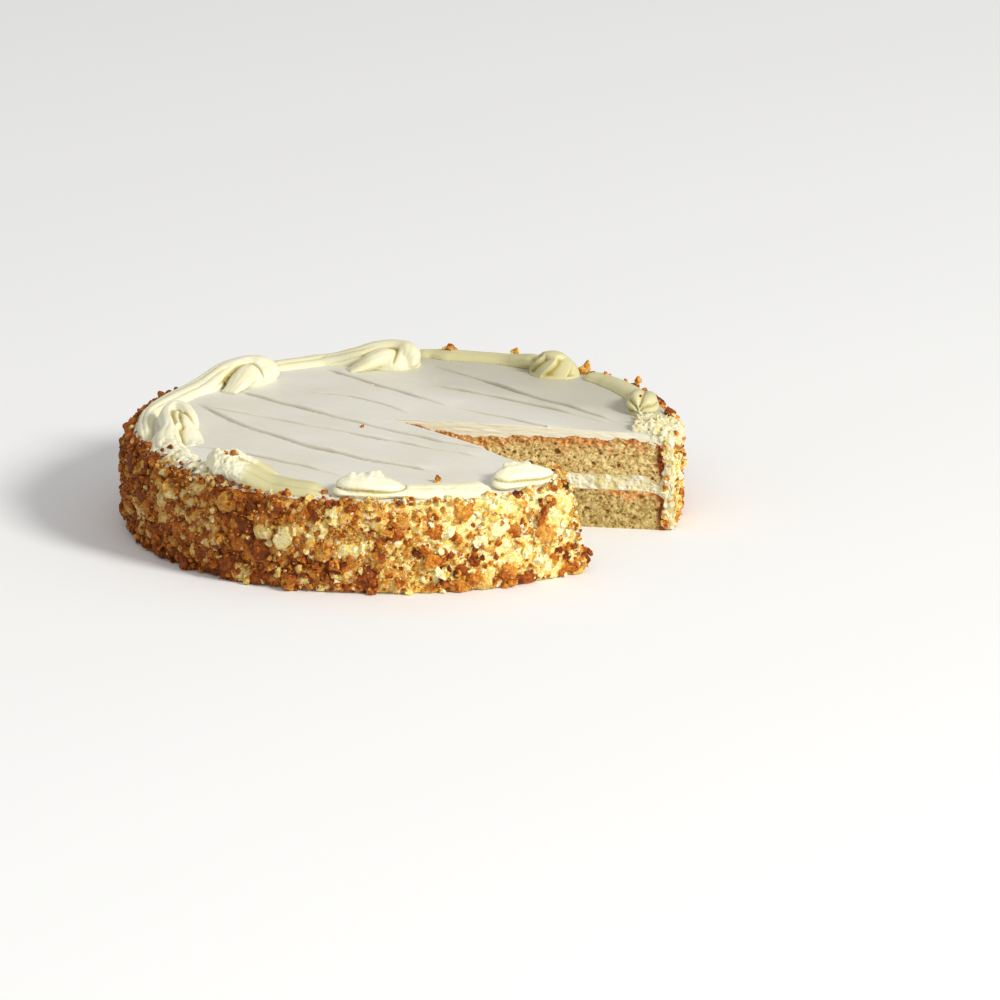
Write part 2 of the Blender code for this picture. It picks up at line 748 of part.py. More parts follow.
def build_coat():
    coat = coat_body()
    rng = random.Random(CRUMB_SEED)
    group = bpy.data.collections.new("crumbs")
    bpy.context.scene.collection.children.link(group)
    for place in crumb_places(rng):
        crumb(rng, *place, group)
    union = coat.modifiers.new("crumbs", "BOOLEAN")
    union.operation = "UNION"
    union.operand_type = "COLLECTION"
    union.collection = group
    union.solver = "EXACT"
    applied(coat)
    for obj in list(group.objects):
        bpy.data.objects.remove(obj, do_unlink=True)
    bpy.data.collections.remove(group)
    mesh = bmesh.new()
    mesh.from_mesh(coat.data)
    largest_body(mesh)
    bmesh.ops.triangulate(mesh, faces=mesh.faces[:])
    mesh.to_mesh(coat.data)
    mesh.free()
    coat.data.materials.clear()
    coat.data.materials.append(material("crumb_coat", COAT_COLOUR, 0.8))


def main():
    clear_scene()
    build_layers()
    build_swirls()
    build_coat()


main()
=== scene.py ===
"""The looks of a round lemon cream cake with one slice cut out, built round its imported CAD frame.

Metres, +Z up. Azimuths are measured about +Z from +X, and the cut slice faces +X and -Y. The sizes
named first are those of the CAD model, so every piece sits where its solid is.
"""

import math
from typing import NamedTuple

import bmesh
import bpy
import numpy as np
from mathutils import Matrix, Vector
from mathutils.geometry import delaunay_2d_cdt


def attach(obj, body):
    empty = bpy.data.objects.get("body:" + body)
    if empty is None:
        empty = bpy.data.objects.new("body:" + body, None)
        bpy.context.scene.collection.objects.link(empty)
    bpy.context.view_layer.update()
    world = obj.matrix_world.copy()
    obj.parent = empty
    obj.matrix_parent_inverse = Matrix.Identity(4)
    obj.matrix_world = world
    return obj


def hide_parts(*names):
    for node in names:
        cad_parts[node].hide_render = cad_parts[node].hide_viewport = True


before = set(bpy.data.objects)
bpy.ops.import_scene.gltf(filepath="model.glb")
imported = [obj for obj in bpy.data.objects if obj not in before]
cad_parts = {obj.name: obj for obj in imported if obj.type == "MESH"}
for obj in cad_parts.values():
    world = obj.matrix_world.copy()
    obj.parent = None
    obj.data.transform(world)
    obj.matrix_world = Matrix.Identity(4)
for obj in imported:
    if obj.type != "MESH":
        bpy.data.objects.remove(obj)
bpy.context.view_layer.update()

MM = 0.001
TAU = 2.0 * math.pi

# ---------------------------------------------------------------- sizes shared with the CAD model

CAKE_RADIUS = 130 * MM
SPONGE_RADIUS = 122.5 * MM
COAT_INNER_RADIUS = 122.9 * MM
COAT_RADIUS = 126.8 * MM
LOWER_SPONGE_TOP = 17.9 * MM
CREAM_CENTRE = 46.6 * MM
CREAM_DOME_FALL = 1.4 * MM
CREAM_DOME_REACH = 100 * MM
SHOULDER_START = 104 * MM
SHOULDER_FALL = 2.7 * MM
PIPING_LIMIT = 122.3 * MM
WEDGE_APEX = np.array((-3.8, -3.2)) * MM
FAR_CUT = math.radians(-12.8)
NEAR_CUT = math.radians(-51.8)
LEAN_FOOT = 6.5 * MM
LEAN_TOP = 44 * MM
LEAN_SPREAD = math.radians(18.0)
COAT_TOP = 41.4 * MM
BOX_MARGIN = 0.15 * MM

# (radius, fall) of a sponge's baked upper corner, and its share on the upper sponge
SPONGE_CORNER = np.array(((0.0, 0.0), (113.5, 0.0), (119.3, -1.3), (122.5, -3.8))) * MM
CORNER_SHARE = 0.8
# (radius, height) of the underside of the upper sponge
UPPER_SPONGE_FOOT = np.array(((0.0, 25.3), (113.5, 25.3), (119.3, 21.2), (122.5, 26.4))) * MM
# (distance from the point of the slice, height) of the crust under the top cream
CRUST_HEIGHTS = MM * np.array(
    ((0, 45.3), (9, 44.8), (17, 43.2), (26, 41.4), (39, 39.8), (64, 41.1), (94, 41.8))
)
# (height, radius) up the outside of the side cream
COAT_PROFILE = np.array(((0.6, 125.4), (7, 126.4), (20, 126.8), (33, 126.6), (38.6, 125.4))) * MM


class Ridge(NamedTuple):
    """A ridge of the spatula, from q = first to last along RIDGE_ALONG (mm).

    It lies at offset + slope q + bend q^2 along RIDGE_ACROSS.
    """

    offset: float
    slope: float
    bend: float
    first: float
    last: float
    height: float


RIDGE_ALONG = np.array((0.68, -0.73)) / math.hypot(0.68, 0.73)
RIDGE_ACROSS = np.array((0.73, 0.68)) / math.hypot(0.68, 0.73)
RIDGES = (
    Ridge(-85.5, 0.163, -0.0019, -60, 55, 0.7),
    Ridge(-60.3, 0.015, 0.0022, -95, 75, 1.0),
    Ridge(-34.0, 0.181, 0.0002, -85, 75, 0.7),
    Ridge(-19.5, 0.063, 0.0010, -95, 75, 1.0),
    Ridge(5.6, -0.324, -0.0060, -70, 0, 0.6),
    Ridge(27.5, -0.060, 0.0005, -92, 5, 0.9),
    Ridge(27.5, 0.150, 0.0, 0, 70, 0.6),
    Ridge(54.3, 0.150, -0.0009, -35, 75, 0.7),
    Ridge(68.5, -0.081, 0.0006, -60, 75, 0.9),
)
RIDGE_LIP = 0.5 * MM
RIDGE_SHARE = 1.25
RIDGE_GROOVE = 0.45
RIDGE_RUN_OUT = 17 * MM
RIDGE_FADE = 14 * MM
RIDGE_WANDER = 0.7 * MM
RIDGE_WANDER_SIZE = 14 * MM
RIDGE_UNEVEN_SIZE = 17 * MM
RELIEF_END = 96 * MM
RELIEF_FADE = 8 * MM


# ---------------------------------------------------------------- arithmetic on arrays

def smooth(low, high, value):
    """0 at low, 1 at high, and a smooth ramp between."""
    share = np.clip((value - low) / (high - low), 0.0, 1.0)
    return share * share * (3.0 - 2.0 * share)


def between(stops, value):
    return np.interp(value, stops[:, 0], stops[:, 1])


def radius_of(plan):
    return np.hypot(plan[..., 0], plan[..., 1])


def polar(radius, azimuth):
    radius, azimuth = np.broadcast_arrays(radius, azimuth)
    return np.stack((radius * np.cos(azimuth), radius * np.sin(azimuth)), -1)


def direction(azimuth):
    return np.array((math.cos(azimuth), math.sin(azimuth)))


def outwards(cut):
    """The level direction out of the cake at the far or the near cut."""
    along = direction(cut)
    side = 1.0 if cut == FAR_CUT else -1.0
    return np.array((along[1], -along[0])) * side


def on_cut(cut, radius):
    """Where a cut leaves the circle of this radius."""
    along = direction(cut)
    middle = along @ WEDGE_APEX
    reach = -middle + np.sqrt(middle**2 - WEDGE_APEX @ WEDGE_APEX + np.asarray(radius) ** 2)
    return WEDGE_APEX + along * reach[..., None]


def arc_ends(radius):
    """The azimuths at which the far and the near cut leave this circle."""
    far, near = on_cut(FAR_CUT, radius), on_cut(NEAR_CUT, radius)
    return math.atan2(far[1], far[0]), math.atan2(near[1], near[0]) + TAU


def lattice(x, y, z, seed):
    """A repeatable number from -1 to 1 at each point of a whole-number grid."""
    mixed = (x * 374761393 + y * 668265263 + z * 2246822519 + seed * 3266489917) & 0xFFFFFFFF
    mixed = ((mixed ^ (mixed >> 15)) * 2246822519) & 0xFFFFFFFF
    mixed = ((mixed ^ (mixed >> 13)) * 3266489917) & 0xFFFFFFFF
    return (mixed ^ (mixed >> 16)) / 0x7FFFFFFF - 1.0


def noise(points, size, seed=0):
    """Smooth noise from -1 to 1 with features of this size, at an array of 3-D points."""
    scaled = np.asarray(points) / size
    cell = np.floor(scaled).astype(np.int64)
    part = scaled - cell
    part = part * part * (3.0 - 2.0 * part)
    total = 0.0
    for corner in range(8):
        dx, dy, dz = corner & 1, corner >> 1 & 1, corner >> 2
        weight = (
            (part[..., 0] if dx else 1.0 - part[..., 0])
            * (part[..., 1] if dy else 1.0 - part[..., 1])
            * (part[..., 2] if dz else 1.0 - part[..., 2])
        )
        total = total + weight * lattice(cell[..., 0] + dx, cell[..., 1] + dy, cell[..., 2] + dz, seed)
    return total


def rough(points, size, octaves, seed=0):
    """Noise of several sizes, each half as large and half as strong as the last."""
    total = 0.0
    for octave in range(octaves):
        total = total + noise(points, size / 2**octave, seed + octave) / 2**octave
    return total


def raised(plan, height):
    plan = np.asarray(plan)
    return np.concatenate((plan, np.broadcast_to(height, plan.shape[:-1])[..., None]), -1)


def leaned(points):
    """The points after the lean of the near cut, which fades out away from the cut."""
    from_apex = points[..., :2] - WEDGE_APEX
    before = NEAR_CUT + LEAN_SPREAD - np.arctan2(from_apex[..., 1], from_apex[..., 0])
    weight = smooth(0.0, LEAN_SPREAD, LEAN_SPREAD - np.abs(before % TAU - LEAN_SPREAD))
    share = np.clip(1.0 - points[..., 2] / LEAN_TOP, 0.0, 1.0) * radius_of(from_apex) / SPONGE_RADIUS
    shift = (LEAN_FOOT * share * weight)[..., None]
    return points + shift * np.array((-math.sin(NEAR_CUT), math.cos(NEAR_CUT), 0.0))


# ---------------------------------------------------------------- heights over the plan

CRUST_RAGGED = 0.9 * MM
CRUST_RAG_SIZE = 3.6 * MM


def lower_sponge_top(plan):
    return LOWER_SPONGE_TOP + between(SPONGE_CORNER, radius_of(plan))


def upper_sponge_foot(plan):
    return between(UPPER_SPONGE_FOOT, radius_of(plan))


def upper_sponge_top(plan):
    """The ragged crust under the top cream: a low dome, the hollow round it and the corner."""
    crust = between(CRUST_HEIGHTS, radius_of(plan - WEDGE_APEX))
    ragged = CRUST_RAGGED * rough(raised(plan, 0.0), CRUST_RAG_SIZE, 3, 11)
    return crust + CORNER_SHARE * between(SPONGE_CORNER, radius_of(plan)) + ragged


def ridge_offset(ridge, along):
    run = along / MM
    return (ridge.offset + ridge.slope * run + ridge.bend * run * run) * MM


def ridge_frame(plan):
    return plan @ RIDGE_ALONG, plan @ RIDGE_ACROSS


def ridge_relief(plan):
    """The spatula's ridges, and how deep each point is in the crease in front of one, where shade is
    painted.

    Each has a sharp lip on its near side, a crease at the lip's foot and a slow fall behind.
    """
    along, across = ridge_frame(plan)
    wander = RIDGE_WANDER * noise(raised(plan, 0.0), RIDGE_WANDER_SIZE, 21)
    total, crease = 0.0, 0.0
    for ridge in RIDGES:
        first, last, height = ridge.first * MM, ridge.last * MM, ridge.height * MM * RIDGE_SHARE
        away = across - ridge_offset(ridge, along) + wander
        strength = smooth(first, first + RIDGE_FADE, along) * (1.0 - smooth(last - RIDGE_FADE, last, along))
        strength = strength * (0.75 + 0.45 * noise(raised(plan, ridge.offset), RIDGE_UNEVEN_SIZE, 22))
        rise = smooth(-RIDGE_LIP, RIDGE_LIP, away)
        fall = 1.0 - smooth(RIDGE_LIP, RIDGE_RUN_OUT, away)
        foot = np.exp(-(((away + RIDGE_LIP) / (0.8 * RIDGE_LIP)) ** 2)) * strength
        total = total + height * (strength * rise * fall - RIDGE_GROOVE * foot)
        crease = np.maximum(crease, foot)
    return total, crease


def smooth_top(plan):
    """The cream top without its ridges: a low dome with a rounded shoulder."""
    radius = radius_of(plan)
    dome = CREAM_CENTRE - CREAM_DOME_FALL * (radius / CREAM_DOME_REACH) ** 2
    past = np.maximum(radius - SHOULDER_START, 0.0) / (SPONGE_RADIUS - SHOULDER_START)
    return dome - SHOULDER_FALL * past * past


STREAK_SIZES = np.array((26.0, 1.6)) * MM
STREAK_HEIGHT = 0.16 * MM
SWELL = 0.35 * MM
SWELL_SIZE = 30 * MM


def cream_top(plan):
    """The spread top: dome, ridges, and the fine streaks that the spatula leaves along them."""
    along, across = ridge_frame(plan)
    streaks = np.stack((along / STREAK_SIZES[0], across / STREAK_SIZES[1], 0.0 * along), -1)
    fine = noise(streaks, 1.0, 31) + 0.6 * noise(streaks * 2.3, 1.0, 32)
    swell = SWELL * noise(raised(plan, 0.0), SWELL_SIZE, 33)
    clear = 1.0 - smooth(RELIEF_END - RELIEF_FADE, RELIEF_END + 6 * MM, radius_of(plan))
    return smooth_top(plan) + clear * (ridge_relief(plan)[0] + STREAK_HEIGHT * fine + swell)


# ---------------------------------------------------------------- meshes

def linked(name, data):
    obj = bpy.data.objects.new(name, data)
    bpy.context.scene.collection.objects.link(obj)
    return obj


def set_attributes(mesh, attributes):
    """Named numbers on the vertices, which the materials read."""
    for name, values in attributes.items():
        layer = mesh.attributes.new(name, "FLOAT", "POINT")
        layer.data.foreach_set("value", np.asarray(values, dtype=np.float32).ravel())


def mesh_object(name, verts, faces, attributes=None, smooth_below=0.0):
    """A piece that looks smooth where its faces turn by less than this angle (deg)."""
    mesh = bpy.data.meshes.new(name)
    mesh.from_pydata(verts.tolist(), [], faces)
    set_attributes(mesh, attributes or {})
    if smooth_below:
        mesh.shade_smooth()
        mesh.set_sharp_from_angle(angle=math.radians(smooth_below))
    return linked(name, mesh)


def tube(rows, ring):
    """The quads round a run of closed sections, and the vertex numbers of each section."""
    index = np.arange(rows * ring).reshape(rows, ring)
    following = np.roll(index, -1, 1)
    quads = np.stack((index[:-1], index[1:], following[1:], following[:-1]), -1)
    return quads.reshape(-1, 4).tolist(), index


def icosphere(subdivisions):
    """The vertices and triangles of a ball of radius 1."""
    mesh = bmesh.new()
    bmesh.ops.create_icosphere(mesh, subdivisions=subdivisions, radius=1.0)
    verts = np.array([vert.co[:] for vert in mesh.verts])
    triangles = np.array([[vert.index for vert in face.verts] for face in mesh.faces])
    mesh.free()
    return verts, triangles


def copies(triangles, count, verts_each):
    """The triangles of many copies of one shape."""
    first = (np.arange(count) * verts_each)[:, None, None]
    return (triangles[None] + first).reshape(-1, 3).tolist()


def cap(corners, inner):
    """Triangles over the plan of a closed run of corners and the points inside it."""
    points = [Vector(point) for point in (np.concatenate((corners, inner))[:, :2] / MM).tolist()]
    count = len(corners)
    edges = [(i, (i + 1) % count) for i in range(count)]
    found = delaunay_2d_cdt(points, edges, [list(range(count))], 1, 1e-6)
    source = [group[0] for group in found[3]]
    triangles = []
    for face in found[2]:
        a, b, c = (source[i] for i in face)
        span = (points[b] - points[a]).cross(points[c] - points[a])
        triangles.append([a, b, c] if span > 0.0 else [a, c, b])
    return triangles


def slab(name, columns, bottom_inner, top_inner, attributes):
    """A closed solid: an outline of columns of points, bottom to top, and a cap at each end.

    attributes holds, for each name, the values down all the columns, then those of the top.
    """
    starts = np.cumsum([0] + [len(column) for column in columns])
    verts = np.concatenate(columns + [bottom_inner, top_inner])
    faces = []
    for place, column in enumerate(columns):
        following = (place + 1) % len(columns)
        a, b = int(starts[place]), int(starts[following])
        tall, next_tall = len(column), len(columns[following])
        if tall == next_tall:
            faces += [(a + i, b + i, b + i + 1, a + i + 1) for i in range(tall - 1)]
        else:
            faces.append([*range(b, b + next_tall), *range(a + tall - 1, a - 1, -1)])
    walls_end = starts[-1]
    for rim, inner, first, turn in (
        (starts[:-1], bottom_inner, walls_end, -1),
        (starts[1:] - 1, top_inner, walls_end + len(bottom_inner), 1),
    ):
        index = np.concatenate((rim, first + np.arange(len(inner))))
        faces += [index[triangle][::turn].tolist() for triangle in cap(verts[rim], inner)]
    runs = (walls_end, len(bottom_inner), len(top_inner))
    values = {
        key: np.concatenate([np.broadcast_to(*pair) for pair in zip((walls, 0.0, top), runs)])
        for key, (walls, top) in attributes.items()
    }
    return mesh_object(name, verts, faces, values, 50.0)


def rings(radii, spacing):
    """Points inside a layer, on arcs of these radii, just short of the cuts."""
    points = []
    for radius in radii:
        start, end = arc_ends(radius)
        count = max(6, round((end - start) * radius / spacing))
        points.append(polar(radius, start + (end - start) * (np.arange(count) + 0.5) / count))
    return np.concatenate(points)


# ---------------------------------------------------------------- layers of the cake

FACE_STEP = 0.45 * MM
ARC_STEPS = 160
LAYER_GAP = 0.1 * MM
HIDDEN_RINGS = np.array((9, 26, 39, 64, 94, 113.5, 119.3)) * MM


def outline():
    """Plan points round a layer, in four runs: the slice's point, far cut, outer arc and near cut."""
    far_corner, near_corner = on_cut(FAR_CUT, SPONGE_RADIUS), on_cut(NEAR_CUT, SPONGE_RADIUS)
    count = round(np.linalg.norm(far_corner - WEDGE_APEX) / FACE_STEP)
    shares = (np.arange(1, count) / count)[:, None]
    far = WEDGE_APEX + (far_corner - WEDGE_APEX) * shares
    near = WEDGE_APEX + (near_corner - WEDGE_APEX) * shares[::-1]
    arc = polar(SPONGE_RADIUS, np.linspace(*arc_ends(SPONGE_RADIUS), ARC_STEPS + 1))
    return WEDGE_APEX[None], far, arc, near


def cut_face(run, cut, low, high, levels, relief, seed):
    """The points of one cut face, pushed out by its relief, and its attributes."""
    shares = np.arange(levels + 1) / levels
    height = low + (high - low) * shares
    away = radius_of(run - WEDGE_APEX)[:, None] + 0.0 * height
    out, values = relief(away, height, low, high, seed)
    edge = np.minimum(away, away.max() - away) / (2.0 * FACE_STEP)
    rim = np.minimum(shares, 1.0 - shares) * levels / 2.0
    out = out * np.clip(edge, 0.0, 1.0) * np.clip(rim, 0.0, 1.0)
    face = raised(run[:, None].repeat(levels + 1, 1), height)
    face[..., :2] += out[..., None] * outwards(cut)
    return face, values


def layer(name, foot, top, relief, bottom_plan, top_plan, seed, on_top=None):
    """A layer between two heights. relief(distance, height, low, high, seed) shapes its cut faces.

    It gives how far each point of a face stands out, and the face's attributes.
    """
    runs = outline()
    highest, lowest = max(top(run).max() for run in runs), min(foot(run).min() for run in runs)
    levels = max(3, round((highest - lowest) / FACE_STEP))
    parts = []
    for run, cut in zip(runs, (None, FAR_CUT, None, NEAR_CUT)):
        low, high = foot(run)[:, None], top(run)[:, None]
        if cut is None:
            parts.append((raised(run[:, None].repeat(2, 1), np.concatenate((low, high), 1)), {}))
        else:
            parts.append(cut_face(run, cut, low, high, levels, relief, seed))
            seed += 1
    attributes = {}
    for key in parts[1][1]:
        walls = [np.broadcast_to(values.get(key, 0.0), face.shape[:2]).ravel() for face, values in parts]
        attributes[key] = (np.concatenate(walls), 0.0)
    for key, values in (on_top or {}).items():
        attributes[key] = (0.0, values)
    columns = [column for face, _ in parts for column in leaned(face)]
    caps = [leaned(raised(plan, ends(plan))) for plan, ends in ((bottom_plan, foot), (top_plan, top))]
    return slab(name, columns, *caps, attributes)


PORES = (  # count per square metre, smallest and largest radius, depth as a share of the radius
    (240000, 0.38 * MM, 0.72 * MM, 1.3),
    (46000, 0.7 * MM, 1.2 * MM, 1.15),
    (3200, 1.2 * MM, 2.1 * MM, 1.0),
)


def pore_depth(along, up, low, high, seed):
    """The depth of the open pores over a cut face given as a grid of distances and heights."""
    rng = np.random.default_rng(seed)
    length, floor, ceiling = along.max(), low.min(), high.max()
    depth = np.zeros(along.shape)
    for density, smallest, largest, share in PORES:
        for _ in range(round(density * length * (ceiling - floor))):
            centre = rng.uniform(0.0, length), rng.uniform(floor, ceiling)
            size = smallest + (largest - smallest) * rng.random() ** 2
            squeeze, turn = rng.uniform(0.55, 1.0), rng.uniform(-0.7, 0.7)
            first = int((centre[0] - size) / length * len(along)) - 1
            last = int((centre[0] + size) / length * len(along)) + 2
            rows = slice(max(first, 0), max(last, 0))
            dx, dy = along[rows] - centre[0], up[rows] - centre[1]
            wide = (dx * math.cos(turn) + dy * math.sin(turn)) / size
            tall = (dy * math.cos(turn) - dx * math.sin(turn)) / (size * squeeze)
            inside = np.clip(1.0 - wide * wide - tall * tall, 0.0, 1.0)
            depth[rows] = np.maximum(depth[rows], share * size * squeeze * np.sqrt(inside))
    return depth


GRAIN = 0.38 * MM
PORE_SHADE_AT = 0.9 * MM
CRUST_THICKNESS = 4.4 * MM
CRUST_DEEPER = 0.9
CRUST_DEEPER_SPAN = (20 * MM, 55 * MM)
LOWER_CRUST_SPAN = (20 * MM, 36 * MM)
RIM_THICKNESS = 4.4 * MM
BAKED_LUMPS = 0.6 * MM
FILLING_LUMPS = 0.55 * MM
FILLING_LUMP_SIZE = 4.2 * MM
FILLING_TEARS = 0.45 * MM
FILLING_TEAR_SIZE = 1.5 * MM
FILLING_SET_BACK = 0.2 * MM
FILLING_HOLLOW = 1.2 * MM
KNIFE_STREAKS = 0.22 * MM
KNIFE_STREAK_SIZE = 1.1 * MM
KNIFE_STRETCH = 6.0


def face_points(along, up, seed):
    """Places for the noise over a cut face, so that no two faces look alike."""
    return np.stack((along, up, 0.0 * up + seed), -1)


def sponge_relief(upper):
    """The relief of a sponge's cut face, the shade painted in its pores, and where it is toasted and burnt.
    """

    def relief(along, up, low, high, seed):
        where = face_points(along, up, seed)
        grain = GRAIN * (noise(where, 2.1 * MM, seed) + 0.7 * noise(where, 0.95 * MM, seed + 5))
        depth = pore_depth(along, up, low, high, seed)
        # Painted shade inside the pores, darker where they are deeper.
        pore = np.clip(depth / PORE_SHADE_AT, 0.0, 1.0)
        uneven = 0.6 * noise(where, 5.0 * MM, seed + 7) + 0.6 * noise(where, 1.5 * MM, seed + 6)
        deeper = CRUST_DEEPER * (1.0 - smooth(*CRUST_DEEPER_SPAN, along))
        thick = CRUST_THICKNESS * (1.0 + uneven) * (1.0 + deeper)
        crust = 1.0 - smooth(0.35, 1.35, (high - up) / np.maximum(thick, 0.3 * MM))
        from_rim = along.max() - along
        side = RIM_THICKNESS * (1.0 + 0.6 * noise(where, 3.0 * MM, seed + 8))
        rim = 1.0 - smooth(0.4, 0.9, from_rim / side)
        if not upper:
            crust = crust * (1.0 - smooth(*LOWER_CRUST_SPAN, from_rim))
        lumps = BAKED_LUMPS * np.maximum(crust, rim) * rough(where, 1.7 * MM, 3, seed + 9)
        shape = grain - depth * (1.0 - 0.5 * crust) + lumps
        return shape, {"pore": pore, "toast": crust, "burnt": rim}

    return relief


def filling_relief(along, up, low, high, seed):
    """Fluffy torn cream: soft lumps with small sharp hollows between them, where shade is painted."""
    where = face_points(along, up, seed)
    lumps = FILLING_LUMPS * rough(where, FILLING_LUMP_SIZE, 3, seed)
    tears = FILLING_TEARS * (1.0 - 2.0 * np.abs(noise(where, FILLING_TEAR_SIZE, seed + 4)))
    out = lumps + tears - FILLING_SET_BACK
    return out, {"hollow": np.clip(0.5 - out / FILLING_HOLLOW, 0.0, 1.0)}


def top_cream_relief(along, up, low, high, seed):
    """The knife smears the cream's cut edge into level streaks."""
    where = face_points(along / KNIFE_STRETCH, up, seed)
    out = KNIFE_STREAKS * rough(where, KNIFE_STREAK_SIZE, 2, seed)
    return out, {"cut": np.ones(along.shape)}


def moved(surface, by):
    """A surface of heights over the plan, moved up or down."""
    return lambda plan: surface(plan) + by


def ground(plan):
    return np.zeros(plan.shape[:-1])


FIELD_ROW = 1.15 * MM
FIELD_STEP = 3.4 * MM
LIP_OFFSETS = np.array((-1.3, -0.8, -0.45, -0.15, 0.15, 0.5, 1.2)) * MM
LIP_STEP = 2.0 * MM


def inside_cake(plan, margin):
    """Which plan points are inside the layers by this margin."""
    from_apex = plan - WEDGE_APEX
    gap = np.minimum(from_apex @ outwards(FAR_CUT), from_apex @ outwards(NEAR_CUT))
    return (radius_of(plan) < SPONGE_RADIUS - margin) & (gap < -margin)


def top_points():
    """Points over the top, in close rows along the ridges and closer ones on each lip."""
    reach = SPONGE_RADIUS
    across = np.arange(-reach, reach, FIELD_ROW)
    along = np.arange(-reach, reach, FIELD_STEP)
    rows = along[None] + (np.arange(len(across)) % 2)[:, None] * 0.5 * FIELD_STEP
    field = np.stack((rows, across[:, None] + 0.0 * rows), -1).reshape(-1, 2)
    keep = np.ones(len(field), bool)
    lips = []
    for ridge in RIDGES:
        first, last = ridge.first * MM, ridge.last * MM
        run = np.arange(first, last, LIP_STEP)
        for offset in LIP_OFFSETS:
            lips.append(np.stack((run, ridge_offset(ridge, run) + offset), -1))
        away = np.abs(field[:, 1] - ridge_offset(ridge, field[:, 0]))
        beside = (field[:, 0] > first - LIP_STEP) & (field[:, 0] < last)
        keep &= ~(beside & (away < LIP_OFFSETS[-1] + 0.4 * MM))
    both = np.concatenate([field[keep]] + lips)
    plan = both[:, :1] * RIDGE_ALONG + both[:, 1:] * RIDGE_ACROSS
    return plan[inside_cake(plan, 0.5 * MM)]


# Painted shade: the top cream is darkened towards the back and the right, which get less light.
BACK_SHADE_SIDE = np.array((0.76, 0.65))
BACK_SHADE_SPAN = (25 * MM, 96 * MM)
INNER_SPACING = 6 * MM


def dress(obj, material, slot, *nodes):
    """Gives a piece its material and its body, and hides the CAD nodes that it stands for. The slot is not
    used.
    """
    obj.data.materials.clear()
    obj.data.materials.append(material)
    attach(obj, "root")
    if nodes:
        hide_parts(*nodes)


def build_layers():
    hidden, corner = rings(HIDDEN_RINGS, INNER_SPACING), rings(HIDDEN_RINGS[-2:], INNER_SPACING)
    cut = sponge_relief(upper=False)
    lower = layer("lower_sponge", ground, lower_sponge_top, cut, np.zeros((0, 2)), corner, 41)
    cut = sponge_relief(upper=True)
    upper = layer("upper_sponge", upper_sponge_foot, upper_sponge_top, cut, corner, hidden, 47)
    foot, top = moved(lower_sponge_top, LAYER_GAP), moved(upper_sponge_foot, -LAYER_GAP)
    filling = layer("cream_filling", foot, top, filling_relief, corner, corner, 53)
    plan = top_points()
    # Painted shade on the top: towards the back and the right, and in the creases at the ridges' feet.
    dull = smooth(*BACK_SHADE_SPAN, plan @ BACK_SHADE_SIDE + 9 * MM * noise(raised(plan, 0.0), 24 * MM, 34))
    on_top = {"crease": ridge_relief(plan)[1], "dull": dull}
    foot = moved(upper_sponge_top, LAYER_GAP)
    spread = layer("spread_cream", foot, cream_top, top_cream_relief, hidden, plan, 59, on_top)
    moist = sponge_material("lower_sponge", linear(152, 119, 52), linear(226, 205, 140))
    baked = sponge_material("upper_sponge", linear(180, 138, 62), linear(242, 222, 160))
    dress(lower, moist, "sponge", "sponge_bottom")
    dress(upper, baked, "sponge", "sponge_top")
    dress(filling, filling_material(), "filling_cream", "filling")
    dress(spread, top_cream_material(), "top_cream", "top_cream")


# ---------------------------------------------------------------- piping

class Swirl:
    """A piped loop on the rim and the tail that it leaves towards the next loop.

    The loop lies about its middle: half its length along the rim, half its width and its height are
    its sizes. The tail runs on at greater azimuths: each stop is (azimuth, inner and outer radius).
    """

    def __init__(self, style, yellow, azimuth, radius, sizes, tail_crest, tail):
        self.style = style
        self.yellow = yellow
        self.azimuth = math.radians(azimuth)
        self.radius = radius * MM
        self.sizes = np.array(sizes) * MM
        self.half_length, self.half_width, self.height = self.sizes
        self.tail_crest = tail_crest * MM
        stops = np.array(tail, dtype=float)
        self.stops = np.radians(stops[:, 0])
        self.edges = stops[:, 1:].T * MM
        self.tail_end = (self.stops[-1] - self.azimuth) * self.radius

    def tail_edges(self, run):
        azimuth = self.azimuth + run / self.radius
        return [np.interp(azimuth, self.stops, edge) for edge in self.edges]

    def world(self, where):
        """Points of the cake from distances along and across the rim, and heights on the cream."""
        plan = polar(self.radius + where[..., 1], self.azimuth + where[..., 0] / self.radius)
        return raised(plan, smooth_top(plan) + where[..., 2])

    def local(self, points):
        """The distances along and across the rim, and the heights on the cream, of points."""
        turn = np.arctan2(points[:, 1], points[:, 0]) - self.azimuth
        turn = (turn + math.pi) % TAU - math.pi
        plan = points[:, :2]
        lift = points[:, 2] - smooth_top(plan)
        return np.stack((turn * self.radius, radius_of(plan) - self.radius, lift), -1)


